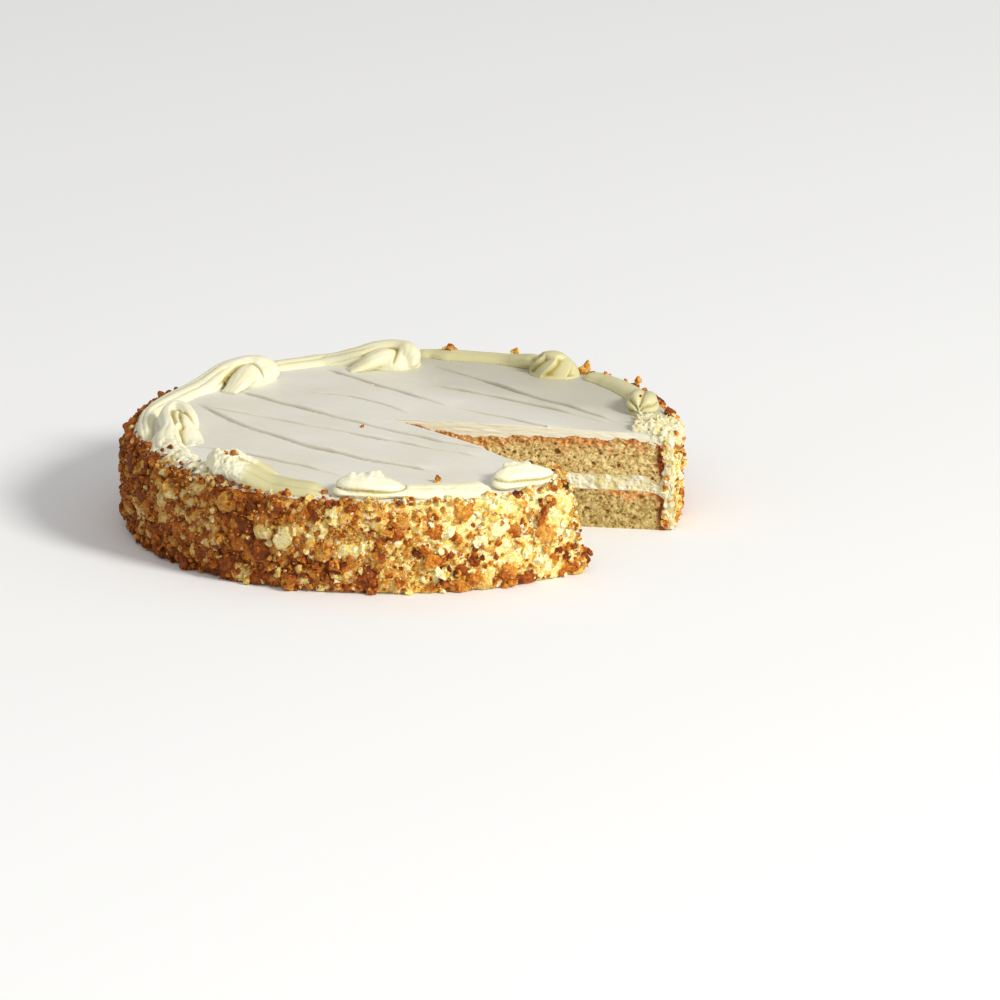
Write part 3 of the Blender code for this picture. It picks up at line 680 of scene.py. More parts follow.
SWIRLS = {  # style, painted olive shade (strongest on the back right swirls), azimuth (deg), radius, (half length, half width, height), tail crest (mm)
    "swirl_1": Swirl("shell", 0.95, 5.2, 110.5, (12.5, 9.0, 10.0), 4.0, (
        (14, 107, 122), (40.2, 106, 122),
    )),
    "swirl_2": Swirl("rosette", 1.0, 47.4, 105.0, (14.0, 11.5, 10.0), 4.2, (
        (60, 105, 120), (78, 105, 122), (82, 110, 122), (88, 110.5, 121),
    )),
    "swirl_3": Swirl("plain", 0.36, 92.4, 95.5, (14.5, 13.5, 11.0), 4.2, (
        (100, 98, 109), (108, 103, 121), (125, 105, 122),
    )),
    "swirl_4": Swirl("plain", 0.12, 134.0, 102.5, (15.0, 14.0, 10.5), 4.5, (
        (146, 102, 120), (160, 106, 122), (170, 112.8, 122), (190, 113, 122),
    )),
    "swirl_5": Swirl("coil", 0.0, 184.0, 102.0, (18.0, 9.6, 9.5), 3.8, (
        (191.3, 100, 112), (195, 104, 122), (216, 108, 122),
    )),
    "swirl_6": Swirl("froth", 0.0, 225.5, 110.5, (14.0, 10.5, 9.5), 3.0, (
        (235, 105, 121), (252.5, 109, 122),
    )),
    "swirl_7": Swirl("stacked", 0.0, 262.3, 113.0, (16.5, 9.2, 8.5), 2.8, (
        (272, 107, 122), (284, 109, 122), (289.6, 112, 122),
    )),
    "swirl_8": Swirl("stacked", 0.0, 297.0, 113.0, (15.5, 9.2, 9.0), 5.0, (
        (303, 106, 122), (307, 107, 122),
    )),
}

# Rolls of a loop, as shares of its half length, half width and height:
# (run, offset, height of the roll's middle, half width, half height)
BAND = (
    (-0.40, -0.66, 0.10, 0.42, 0.18),
    (-0.52, -0.48, 0.34, 0.44, 0.38),
    (-0.57, -0.18, 0.50, 0.42, 0.48),
    (-0.45, 0.18, 0.54, 0.43, 0.47),
    (-0.14, 0.39, 0.54, 0.46, 0.47),
    (0.22, 0.42, 0.52, 0.52, 0.46),
)
COIL = (
    (0.66, -0.60, 0.10, 0.32, 0.14),
    (0.36, -0.64, 0.30, 0.38, 0.32),
    (0.02, -0.60, 0.45, 0.40, 0.45),
    (-0.36, -0.42, 0.54, 0.40, 0.50),
    (-0.64, -0.08, 0.58, 0.38, 0.50),
    (-0.58, 0.24, 0.57, 0.38, 0.49),
    (-0.24, 0.46, 0.55, 0.38, 0.47),
    (0.18, 0.52, 0.52, 0.40, 0.46),
)
TONGUE = (
    (1.62, -0.58, 0.02, 0.30, 0.06),
    (1.25, -0.58, 0.16, 0.38, 0.20),
    (0.85, -0.52, 0.32, 0.44, 0.34),
    (0.45, -0.38, 0.44, 0.44, 0.40),
    (0.10, -0.22, 0.51, 0.38, 0.38),
    (-0.16, -0.06, 0.54, 0.28, 0.32),
)
COIL_TONGUE = (
    (1.75, -0.30, -0.04, 0.50, 0.05),
    (1.30, -0.30, 0.04, 0.60, 0.14),
    (0.85, -0.28, 0.18, 0.60, 0.26),
    (0.50, -0.28, 0.36, 0.48, 0.37),
    (0.18, -0.28, 0.50, 0.34, 0.40),
    (-0.14, -0.20, 0.56, 0.26, 0.36),
)
CURL = (
    (0.72, 0.16, 0.40, 0.34, 0.34),
    (0.30, 0.14, 0.50, 0.32, 0.38),
    (-0.06, 0.08, 0.55, 0.28, 0.36),
    (-0.26, -0.06, 0.56, 0.22, 0.32),
)
SHELL = (
    (-0.90, -0.30, 0.10, 0.16, 0.10),
    (-0.76, -0.26, 0.36, 0.54, 0.36),
    (-0.52, -0.14, 0.50, 0.82, 0.50),
    (-0.20, -0.02, 0.54, 0.88, 0.54),
    (0.15, 0.12, 0.50, 0.80, 0.50),
)
ROSETTE = (
    (0.10, 0.10, 0.36, 0.50, 0.36),
    (0.50, 0.20, 0.36, 0.50, 0.36),
)
PLEATS = 6
PLEAT_PHASE = 0.35
PLEAT_TURN = 0.9
PLEAT_DEPTH = 0.32
LOWER_ROLL = (
    (-0.94, 0.36, 0.24, 0.36, 0.22),
    (-0.72, 0.46, 0.27, 0.48, 0.27),
    (-0.20, 0.50, 0.28, 0.50, 0.29),
    (0.30, 0.50, 0.27, 0.48, 0.28),
    (0.66, 0.48, 0.25, 0.46, 0.26),
)
UPPER_ROLL = (
    (-0.84, 0.34, 0.60, 0.44, 0.25),
    (-0.52, 0.38, 0.67, 0.55, 0.30),
    (0.0, 0.40, 0.68, 0.58, 0.31),
    (0.50, 0.42, 0.57, 0.53, 0.28),
    (0.98, 0.44, 0.42, 0.44, 0.20),
)


class Style(NamedTuple):
    """How a loop is piped: shares of its sizes for its mound and its first roll."""

    mound: tuple
    ribs: tuple  # how many, where the first one is, how deep they are on the head and on the tail
    froth: float
    first_roll: tuple


STYLES = {
    "shell": Style((0.80, 0.80, 0.80), (5, 0.5, 0.22, 0.07), 0.0, SHELL),
    "rosette": Style((0.92, 0.94, 1.10), (8, 0.4, 0.0, 0.07), 0.0, ROSETTE),
    "plain": Style((0.90, 0.84, 0.78), (9, 0.4, 0.018, 0.13), 0.0, BAND),
    "coil": Style((0.95, 0.84, 0.84), (9, 0.4, 0.02, 0.10), 0.0, COIL),
    "froth": Style((0.74, 0.86, 0.86), (7, 0.6, 0.03, 0.11), 1.0, BAND),
    "stacked": Style((0.80, 0.90, 0.80), (8, 0.2, 0.035, 0.06), 0.35, LOWER_ROLL),
}
INNER_ROLLS = {"plain": (TONGUE,), "froth": (TONGUE,), "coil": (COIL_TONGUE, CURL)}
PATH_STEP = 0.7 * MM
SECTION_POINTS = 48
SUNK = 0.5 * MM
SKIN_VOXEL = 0.6 * MM
MOUND_SHIFT = np.array((0.04, 0.06, 0.0))
TAIL_ROWS = 43
TAIL_SUNK = 0.7
TAIL_SPREAD = 1.04
TAIL_SETTLES = 1.8
TAIL_TAPER = 5 * MM
BLUNT_FLOOR = 0.05
BLUNT_SHARE = 0.35
BLUNT_START = 0.3
BLUNT_TAIL_ROWS = 8.0
SOFTENING = (8, 6, 5)  # rounds on the first roll, on the one stacked on it and on the inner ones
WOBBLE = 0.3 * MM
WOBBLE_SIZE = 6 * MM


def resampled(rows):
    """The same path with its rows evenly spaced."""
    lengths = np.cumsum(np.linalg.norm(np.diff(rows[:, :3], axis=0, prepend=rows[:1, :3]), axis=1))
    marks = np.linspace(0.0, lengths[-1], max(4, round(lengths[-1] / PATH_STEP)))
    return np.stack([np.interp(marks, lengths, column) for column in rows.T], -1)


def softened(rows, rounds):
    """A path without its corners; its two ends stay."""
    rows = rows.copy()
    for _ in range(rounds):
        rows[1:-1] = 0.25 * rows[:-2] + 0.5 * rows[1:-1] + 0.25 * rows[2:]
    return rows


def mound(swirl):
    """The mass of cream that a swirl's rolls lie on."""
    unit, triangles = icosphere(4)
    where = (unit * STYLES[swirl.style].mound - MOUND_SHIFT) * swirl.sizes
    where[:, 2] = np.maximum(where[:, 2], -SUNK)
    return swirl.world(where), triangles.tolist()


def scaled(swirl, shares):
    return np.array(shares) * swirl.sizes[[0, 1, 2, 1, 2]]


def tail_rows(swirl, start):
    """The path on from a loop's last row, along the tail to its end."""
    length = swirl.tail_end
    run = np.linspace(start[0], length, TAIL_ROWS + 1)[1:]
    inner, outer = swirl.tail_edges(run)
    rise = 0.5 * swirl.tail_crest + 0.0 * run
    tail = np.stack((
        0.5 * (inner + outer) - swirl.radius,
        -TAIL_SUNK * rise,
        TAIL_SPREAD * 0.5 * (outer - inner),
        (2.0 + TAIL_SUNK) * rise,
    ), -1)
    settled = smooth(start[0], start[0] + TAIL_SETTLES * swirl.half_length, run)[:, None]
    end = 1.0 - 0.8 * smooth(length - TAIL_TAPER, length, run)
    shape = start[1:] + (tail - start[1:]) * settled
    shape[:, 1:] *= np.stack((end, 0.4 + 0.6 * end, end), -1)
    return np.column_stack((run, shape))


def blunt(path, share):
    """Rounds off the last share of a roll's path."""
    past = np.clip((np.linspace(0.0, 1.0, len(path)) - 1.0 + share) / share, 0.0, 1.0)
    path = path.copy()
    path[:, 3:] *= np.sqrt(np.clip(1.0 - past**2.2, BLUNT_FLOOR, 1.0))[:, None]
    return path


def heading(path):
    """The level unit vectors along a path and across it."""
    ahead = np.gradient(path[:, :2], axis=0)
    ahead /= np.linalg.norm(ahead, axis=1)[:, None]
    return ahead, np.stack((ahead[:, 1], -ahead[:, 0]), -1)


def swept(swirl, path, seed):
    """A roll along a path, as vertices and faces in the cake's space."""
    turn = np.linspace(0.0, TAU, SECTION_POINTS, endpoint=False)
    outward = raised(heading(path)[1][:, None] * np.cos(turn)[:, None], np.sin(turn))
    where = path[:, None, :3] + outward * path[:, None, [3, 3, 4]]
    where = where + outward * (WOBBLE * noise(where, WOBBLE_SIZE, seed + 1))[..., None]
    where[..., 2] = np.maximum(where[..., 2], -SUNK)
    where[..., 1] = np.minimum(where[..., 1], PIPING_LIMIT + 1.2 * MM - swirl.radius)
    points = swirl.world(where)
    faces, index = tube(*points.shape[:2])
    for tip, ring in ((index.size, index[0]), (index.size + 1, index[-1, ::-1])):
        faces += [(tip, a, b) for a, b in zip(ring.tolist(), np.roll(ring, -1).tolist())]
    return np.concatenate((points.reshape(-1, 3), points[[0, -1]].mean(1))), faces


def balls(centres, sizes):
    """Ellipsoids as one list of vertices and faces."""
    unit, triangles = icosphere(2)
    verts = np.array(centres)[:, None] + unit * np.array(sizes)[:, None]
    return verts.reshape(-1, 3), copies(triangles, len(verts), len(unit))


def mesh_arrays(mesh):
    """A mesh's points, normals and edges."""
    count = len(mesh.vertices)
    points, normals = np.empty(3 * count), np.empty(3 * count)
    edges = np.empty(2 * len(mesh.edges), dtype=np.int32)
    mesh.vertices.foreach_get("co", points)
    mesh.vertices.foreach_get("normal", normals)
    mesh.edges.foreach_get("vertices", edges)
    return points.reshape(-1, 3), normals.reshape(-1, 3), edges.reshape(-1, 2)


def averaged(points, edges, rounds):
    """The points after rounds of moving each to the middle of its neighbours."""
    count = len(points)
    ends = np.concatenate((edges, edges[:, ::-1]))
    share = 1.0 / np.maximum(np.bincount(ends[:, 0], minlength=count), 1)
    for _ in range(rounds):
        sums = [np.bincount(ends[:, 0], points[ends[:, 1], i], count) for i in range(3)]
        points = np.stack(sums, -1) * share[:, None]
    return points


SKIN_SOFTENING = 1
CAVITY_ROUNDS = 10
CAVITY_DEPTH = 0.6 * MM


def skin(name, parts, voxel, relief):
    """One closed skin round overlapping parts, with painted shade marked in its hollows.

    relief(points) gives how far each point is pushed out, and further attributes.
    """
    starts = np.cumsum([0] + [len(verts) for verts, _ in parts]).tolist()
    faces = [[i + first for i in face] for first, part in zip(starts, parts) for face in part[1]]
    obj = mesh_object(name, np.concatenate([verts for verts, _ in parts]), faces)
    mesh = obj.data
    remesh = obj.modifiers.new("skin", "REMESH")
    remesh.mode = "VOXEL"
    remesh.voxel_size = voxel
    graph = bpy.context.evaluated_depsgraph_get()
    obj.data = bpy.data.meshes.new_from_object(obj.evaluated_get(graph))
    obj.modifiers.clear()
    bpy.data.meshes.remove(mesh)
    points, normals, edges = mesh_arrays(obj.data)
    points = averaged(points, edges, SKIN_SOFTENING)
    pushed, values = relief(points)
    points = points + normals * pushed[:, None]
    obj.data.vertices.foreach_set("co", points.ravel())
    obj.data.update()
    points, normals, edges = mesh_arrays(obj.data)
    # Painted shade where a point lies sunk below its neighbours, added to the painted shade in grooves.
    sunk = ((averaged(points, edges, CAVITY_ROUNDS) - points) * normals).sum(1)
    values["hollow"] = np.clip(sunk / CAVITY_DEPTH + values.get("groove", 0.0), 0.0, 1.0)
    set_attributes(obj.data, values)
    obj.data.shade_smooth()
    return obj


SEAM_WIDTHS = (0.11, 0.34)
SEAM_DEPTHS = (0.60 * MM, 0.85 * MM)
STACKED_SEAM = (0.34, 0.6)
SEAM_REACH = (1.25, 1.7)
NEAREST_BATCH = 4000


def nearest_roll(local, path):
    """How far points are from a roll's middle line, as a share of its size, and the turn about it."""
    ahead, across = heading(path)
    share, turn = np.empty(len(local)), np.empty(len(local))
    for first in range(0, len(local), NEAREST_BATCH):
        part = slice(first, first + NEAREST_BATCH)
        apart = local[part, None] - path[None, :, :3]
        fore = (apart[..., :2] * ahead).sum(-1) / path[:, 3]
        side = (apart[..., :2] * across).sum(-1) / path[:, 3]
        up = apart[..., 2] / path[:, 4]
        distance = fore * fore + side * side + up * up
        best = distance.argmin(1)
        row = np.arange(len(best))
        share[part] = np.sqrt(distance[row, best])
        turn[part] = np.arctan2(up[row, best], side[row, best])
    return share, turn


def seam(first, second):
    """The grooves where two rolls meet: how deep, and 0 to 1 how much shade is painted in them."""
    close = 1.0 - smooth(*SEAM_REACH, np.maximum(first, second))
    apart = first - second
    thin = close * np.exp(-((apart / SEAM_WIDTHS[0]) ** 2))
    wide = close * np.exp(-((apart / SEAM_WIDTHS[1]) ** 2))
    return SEAM_DEPTHS[0] * thin + SEAM_DEPTHS[1] * wide, np.clip(0.7 * thin + 0.35 * wide, 0.0, 1.0)


def rib_grooves(turn, count, phase):
    """0 on the ribs that run along a roll and 1 in the sharp grooves between them."""
    return 1.0 - np.abs(np.cos(0.5 * count * turn + phase)) ** 0.6


def folds(turn, count, phase):
    """Folds that lie over one another: each falls away slowly on one side and steeply on the other."""
    share = (count * turn / TAU + phase) % 1.0
    return share * (1.0 - smooth(0.86, 1.0, share))


CROWN_FLAKES = 34
FROTH_BUBBLES = 150
PIPED_ROUGHNESS = 0.05 * MM
FROTH_DEPTH = 0.6 * MM


def crown_flakes(swirl, rng):
    """Little upright flakes where the nozzle tore away from a swirl's top."""
    centres, sizes = [], []
    for _ in range(CROWN_FLAKES):
        shares = np.array((rng.uniform(-0.45, 0.35), rng.uniform(-0.25, 0.55), rng.uniform(0.86, 0.98)))
        centres.append(swirl.world(shares * swirl.sizes))
        sizes.append(np.array((1.5, 0.9, 0.8)) * rng.uniform(0.5, 1.15) * MM)
    return balls(centres, sizes)


def froth(swirl, rng):
    """Bubbly cream all over a swirl's head, and torn along the outside of its tail."""
    centres, sizes = [], []
    for _ in range(FROTH_BUBBLES):
        turn, lift = rng.uniform(0.0, TAU), rng.uniform(0.1, 1.0)
        reach = math.sqrt(1.0 - 0.75 * lift * lift)
        shares = (0.62 * math.cos(turn) * reach, 0.72 * math.sin(turn) * reach, 0.1 + 0.8 * lift)
        centres.append(swirl.world(np.array(shares) * swirl.sizes))
        sizes.append(np.ones(3) * rng.uniform(0.7, 2.1) * MM)
    for _ in range(FROTH_BUBBLES // 2):
        shares = np.array((rng.uniform(-1.5, 1.0), rng.uniform(0.30, 0.86), rng.uniform(0.05, 0.42)))
        centres.append(swirl.world(shares * swirl.sizes))
        sizes.append(rng.uniform(0.7, 2.0, 3) * (1.6, 1.0, 0.8) * MM)
    return balls(centres, sizes)


def rolls(swirl):
    """The paths of a swirl's rolls; the first runs on along the tail."""
    head = scaled(swirl, STYLES[swirl.style].first_roll)
    path = softened(resampled(np.concatenate((head, tail_rows(swirl, head[-1])))), SOFTENING[0])
    paths = [blunt(path[::-1], BLUNT_TAIL_ROWS / len(path))[::-1]]
    if swirl.style == "stacked":
        upper = softened(resampled(scaled(swirl, UPPER_ROLL)), SOFTENING[1])
        paths.append(blunt(blunt(upper, BLUNT_SHARE)[::-1], BLUNT_START)[::-1])
    for rows in INNER_ROLLS.get(swirl.style, ()):
        inner = softened(resampled(scaled(swirl, rows)), SOFTENING[2])
        paths.append(blunt(inner, BLUNT_SHARE))
    return paths


def torn_share(style, on, run, offset, lift):
    """How torn and bubbly the cream is; on is 0 on the head and 1 on the tail."""
    torn = STYLES[style].froth * (1.0 - on)
    if style == "froth":
        return np.maximum(torn, smooth(0.20, 0.50, offset) * smooth(1.3, 0.8, run))
    if style == "stacked":
        return torn * smooth(0.74, 0.94, lift) + 0.35 * on * smooth(1.4, 2.0, run)
    if style == "coil":
        return 0.9 * smooth(1.2, 1.7, run)
    return torn


def piped_relief(swirl, paths, seed):
    """The grooves between rolls, the ribs along them, the cream's fine roughness, and the shade painted in
    grooves, seams and pleats.
    """
    style, height = swirl.style, swirl.height
    count, phase, on_head, on_tail = STYLES[style].ribs

    def relief(points):
        local = swirl.local(points)
        run, offset, lift = (local / swirl.sizes).T
        on = smooth(0.5, 1.1, run)
        standing = smooth(0.3 * MM, 1.6 * MM, local[:, 2])
        shares, turns = np.array([nearest_roll(local, path) for path in paths]).transpose(1, 0, 2)
        order = shares.argsort(0)
        rib = rib_grooves(np.take_along_axis(turns, order[:1], 0)[0], count, phase)
        depth = rib * (on_head + (on_tail - on_head) * on) * (1.0 - 0.5 * on) * height * standing
        # dark is painted shade in the grooves between the ribs.
        dark = rib * (0.4 * smooth(0.06, 0.2, on_head) * (1.0 - on) + 0.25 * on)
        if len(paths) > 1:
            own = order[0] == 0
            deep, shade = seam(*np.take_along_axis(shares, order[:2], 0))
            if style == "stacked":
                deep, shade = STACKED_SEAM[0] * deep, STACKED_SEAM[1] * shade
            depth = np.where(own, depth, 0.02 * height * rib) + deep * standing
            dark = np.where(own, dark, 0.0) + shade * standing
        if style == "rosette":
            pleat = folds(np.arctan2(offset, run) - PLEAT_TURN * (1.0 - lift), PLEATS, PLEAT_PHASE)
            head = (1.0 - on) * standing * smooth(1.02, 0.90, lift)
            depth = depth + PLEAT_DEPTH * height * pleat * head
            # Painted shade in the folds of the pleats.
            dark = dark + 0.9 * pleat * pleat * head
        torn = torn_share(style, on, run, offset, lift)
        sharp = np.abs(noise(points, 1.5 * MM, seed + 4))
        torn_push = torn * FROTH_DEPTH * (rough(points, 2.2 * MM, 3, seed + 5) - sharp)
        fine = PIPED_ROUGHNESS * noise(points, 0.9 * MM, seed)
        # Painted shade that turns the cream olive: along the froth swirl's tail, and on every other swirl
        # its listed share.
        olive_share = smooth(0.55, 1.0, on) * (1.0 - torn) if style == "froth" else swirl.yellow + 0.0 * on
        return fine + torn_push - depth, {"groove": dark, "yellow": olive_share}

    return relief


def build_swirls():
    piping = piping_material()
    extras = {"stacked": crown_flakes, "froth": froth}
    for number, (node, swirl) in enumerate(SWIRLS.items()):
        seed = 70 + 7 * number
        paths = rolls(swirl)
        parts = [mound(swirl)] + [swept(swirl, path, seed + 3 * i) for i, path in enumerate(paths)]
        if swirl.style in extras:
            parts.append(extras[swirl.style](swirl, np.random.default_rng(200 + number)))
        obj = skin(node + "_piping", parts, SKIN_VOXEL, piped_relief(swirl, paths, seed))
        dress(obj, piping, "piped_cream", node)


# ---------------------------------------------------------------- torn cream at the far corner

TORN_LUMPS = 90
TORN_FLAKES = 190
DRAGGED = 210
TORN_VOXEL = 0.5 * MM
TORN_DEPTH = 0.45 * MM
TORN_MIDDLE = 117 * MM
TORN_HALF_WIDTH = 11 * MM


def torn_relief(points):
    """Fluffy relief with sharp little tears."""
    sharp = 1.0 - 2.0 * np.abs(noise(points, 1.6 * MM, 94))
    crumbed = 1.0 - smooth(37 * MM, 43 * MM, points[:, 2])
    return TORN_DEPTH * (rough(points, 3.0 * MM, 3, 91) + 0.8 * sharp), {"crumbed": crumbed}


def shards(rng, centres, sizes, tilt):
    """Upright flakes, as ellipsoids that each lean by a random small turn."""
    verts, faces = balls(np.zeros((len(centres), 3)), sizes)
    verts = verts.reshape(len(centres), -1, 3)
    lean = rng.normal(0.0, tilt, (len(centres), 1, 2))
    verts[..., :2] += lean * verts[..., 2:]
    return (verts + np.array(centres)[:, None]).reshape(-1, 3), faces


def torn_place(rng, radii, azimuths, lifts):
    """A place in the torn cream, which is highest along its middle: spans in mm, deg and mm."""
    plan = polar(rng.uniform(*radii) * MM, math.radians(rng.uniform(*azimuths)))
    middle = 1.0 - 0.6 * abs(radius_of(plan) - TORN_MIDDLE) / TORN_HALF_WIDTH
    return (*plan, float(smooth_top(plan)) + rng.uniform(*lifts) * middle * MM)


def build_torn_cream():
    """The torn end of the missing slice's piping, and the cream dragged down the cake's end."""
    rng = np.random.default_rng(5)
    lumps, lump_sizes, flakes, flake_sizes = [], [], [], []
    for _ in range(TORN_LUMPS):
        lumps.append(torn_place(rng, (108.0, 127.6), (-12.6, -2.6), (0.0, 2.4)))
        lump_sizes.append(rng.uniform(1.4, 2.6, 3) * MM)
    for _ in range(TORN_FLAKES):
        flakes.append(torn_place(rng, (107.5, 128.4), (-12.7, -2.2), (0.8, 4.2)))
        flake_sizes.append((0.65 * MM, 0.65 * MM, rng.uniform(1.6, 3.0) * MM))
    for _ in range(DRAGGED):
        height = rng.uniform(2.0, 43.0)
        away = rng.uniform(125.2 if height < 38.0 else 118.5, 129.2) * MM
        plan = WEDGE_APEX + direction(FAR_CUT) * away - outwards(FAR_CUT) * rng.uniform(-0.2, 1.4) * MM
        if rng.random() < 0.45:
            lumps.append((*plan, height * MM))
            lump_sizes.append(rng.uniform(0.9, 1.9, 3) * (1.0, 0.7, 1.2) * MM)
        else:
            flakes.append((*plan, height * MM))
            flake_sizes.append((0.7 * MM, 0.6 * MM, rng.uniform(1.0, 2.0) * MM))
    parts = [balls(lumps, lump_sizes), shards(rng, flakes, flake_sizes, 0.45)]
    torn = skin("torn_tail", parts, TORN_VOXEL, torn_relief)
    dress(torn, torn_material(), "piped_cream", "tail_remnant")


# ---------------------------------------------------------------- side cream and crumbs

COAT_STEP = 0.68 * MM
COAT_BUMP = 1.2 * MM
COAT_SUNK = 0.9 * MM
COAT_FOOT = 0.6 * MM
COAT_CRUMBS = (  # how many, smallest and largest half width (mm), how far they stand out as a share
    (3200, 0.6, 1.3, 0.85),
    (1500, 1.2, 2.4, 0.75),
    (460, 2.4, 5.2, 0.50),
)
CRUMB_WARP = 0.55 * MM
CRUMB_WARP_SIZE = 1.3 * MM
COAT_PITS = 0.55 * MM
COAT_PIT_SIZE = 1.2 * MM
COAT_SHOULDER = 38.6 * MM
COAT_SHOULDER_HEIGHT = 3.4 * MM
COAT_SHOULDER_FALL = 2.2 * MM
COAT_FADE_START = 39 * MM
COAT_FADE_HEIGHT = 3 * MM
COAT_FADE = 0.6
EDGE_RAGGED = 0.75 * MM
# Painted shade in the gaps between crumbs: how far the side lies below its mean over these cells.
GAP_CELLS = 4
GAP_DEPTH = 0.75 * MM
BROWN_PATCH = 15 * MM
# Painted shade on the left and the back of the side, which get less light.
LEFT_BACK_SHADE_FROM_NEAR = np.radians((28.0, 88.0))
LEFT_BACK_SHADE_FROM_FAR = np.radians((60.0, 140.0))
DENSE_FROM_NEAR = np.radians((5.0, 80.0))
DENSE_FROM_FAR = np.radians((4.0, 26.0))
LEFT_FROM_NEAR = np.radians((50.0, 120.0))
# Painted light beside the far cut, where the side falls in shade: the crumbs' tones there are held paler.
FAR_END_PAINTED_LIGHT = np.radians((26.0, 40.0))
PATCHES = (  # azimuth (deg), height, half length, half height (mm) of a patch, and how much browner
    (280.6, 17.0, 14.0, 7.0, 0.44),
    (303.0, 6.0, 13.0, 5.0, 0.30),
    (252.0, 12.0, 10.0, 6.0, 0.22),
    (224.6, 23.0, 7.0, 5.0, -0.30),
    (203.0, 36.0, 9.0, 6.0, 0.20),
)


def from_ends(azimuth):
    """How far round the side azimuths are from the near cut and from the far one."""
    far, near = arc_ends(COAT_RADIUS)
    from_far = np.minimum((azimuth - far) % TAU, near - far)
    return near - far - from_far, from_far


def left_back_shade(azimuth):
    """Painted shade: 1 at the left and the back, which get less light, and 0 beside the cuts."""
    from_near, from_far = from_ends(azimuth)
    return smooth(*LEFT_BACK_SHADE_FROM_NEAR, from_near) * smooth(*LEFT_BACK_SHADE_FROM_FAR, from_far)


def cover(azimuth, height):
    """How brown the crumbs are over the side, 0 to 1, and how far they hide the cream.

    They are palest beside the near cut and darker towards the foot. At the left they are browner, partly
    their own colour and partly painted shade, with painted shadow at the foot there.
    """
    place = raised(polar(COAT_RADIUS, azimuth), height)
    patch = 0.40 * (0.6 * noise(place, BROWN_PATCH, 81) + 0.35 * noise(place, 0.4 * BROWN_PATCH, 82))
    for middle, level, half_length, half_height, change in PATCHES:
        along = COAT_RADIUS * (azimuth % TAU - math.radians(middle)) / (half_length * MM)
        up = (height - level * MM) / (half_height * MM)
        patch = patch + change * np.exp(-along * along - up * up)
    from_near, from_far = from_ends(azimuth)
    dense = smooth(*DENSE_FROM_NEAR, from_near) * (0.15 + 0.85 * smooth(*DENSE_FROM_FAR, from_far))
    left = dense * smooth(*LEFT_FROM_NEAR, from_near)
    # Darker towards the foot all round, with painted shadow at the foot on the left.
    foot = (0.10 + 0.17 * left) * (1.0 - smooth(2 * MM, 15 * MM, height))
    rim = 0.16 * smooth(33 * MM, 41 * MM, height) * dense
    return np.clip(0.28 + 0.30 * dense + 0.11 * left + foot + rim + patch, 0.0, 1.0), dense


def crumb_tone(rng, azimuth, height):
    """The middle tone of each crumb: 0 cream, 0.3 pale sponge, 0.6 golden, 1 burnt."""
    brown, dense = cover(azimuth, height)
    spread = brown + 0.23 * rng.normal(size=len(azimuth))
    # Painted light: the brownest tone is held lower beside the far cut.
    brownest = 0.56 + 0.40 * smooth(*FAR_END_PAINTED_LIGHT, from_ends(azimuth)[1])
    return np.clip(spread, 0.08 + 0.18 * dense, brownest)


def coat_radius(azimuth, height):
    """The side cream's outer radius without its crumbs, with soft dents and lumps."""
    plain = between(COAT_PROFILE, height)
    where = raised(polar(plain, azimuth), height)
    lumps = COAT_BUMP * (0.6 * noise(where, 9 * MM, 61) + 0.4 * rough(where, 3.4 * MM, 2, 62))
    top = np.clip((height - COAT_SHOULDER) / COAT_SHOULDER_HEIGHT, 0.0, 1.0)
    return plain + lumps * (1.0 - 0.5 * top) - COAT_SHOULDER_FALL * top**2


def stamped(azimuths, heights):
    """Crumbs pressed in the side cream: the relief and the tone over a grid of its surface."""
    rng = np.random.default_rng(23)
    relief = np.zeros((len(azimuths), len(heights)))
    arc = azimuths * COAT_RADIUS
    azimuth, height = np.meshgrid(azimuths, heights, indexing="ij")
    brown, dense = cover(azimuth, height)
    tone = 0.04 + dense * (0.30 + 0.35 * brown)
    place = raised(polar(COAT_RADIUS, azimuth), height)
    warp_along, warp_up = (CRUMB_WARP * noise(place, CRUMB_WARP_SIZE, seed) for seed in (71, 72))
    swell = 1.0 + 0.3 * noise(place, 0.9 * MM, 73)
    for count, smallest, largest, share in COAT_CRUMBS:
        where = rng.uniform(azimuths[0], azimuths[-1], count)
        level = rng.uniform(0.0, heights[-1], count)
        size = (smallest + (largest - smallest) * rng.random(count) ** 1.5) * MM
        shade = crumb_tone(rng, where, level)
        for place, lift, half, own in zip(where * COAT_RADIUS, level, size, shade):
            first, last = np.searchsorted(arc, (place - 1.4 * half, place + 1.4 * half))
            low, high = np.searchsorted(heights, (lift - 1.4 * half, lift + 1.4 * half))
            part = (slice(first, last), slice(low, high))
            along = arc[first:last, None] - place + warp_along[part]
            up = heights[None, low:high] - lift + warp_up[part]
            inside = 1.0 - (along * along + up * up) / (half * half)
            rise = share * half * np.sqrt(np.clip(inside, 0.0, 1.0)) * swell[part]
            wins = rise > relief[part]
            relief[part] = np.where(wins, rise, relief[part])
            tone[part] = np.where(wins, own, tone[part])
    return relief, tone


def gap_shade(radius, dense):
    """Painted shade in the gaps between crumbs, 0 to 1; it is lighter in the gaps of bare cream."""
    mean = radius
    for axis in (0, 1):
        edges = [(GAP_CELLS, GAP_CELLS) if axis == i else (0, 0) for i in (0, 1)]
        padded = np.pad(mean, edges, mode="edge")
        mean = np.lib.stride_tricks.sliding_window_view(padded, 2 * GAP_CELLS + 1, axis).mean(-1)
    return np.clip((mean - radius) / GAP_DEPTH, 0.0, 1.0) * (0.35 + 0.65 * dense)


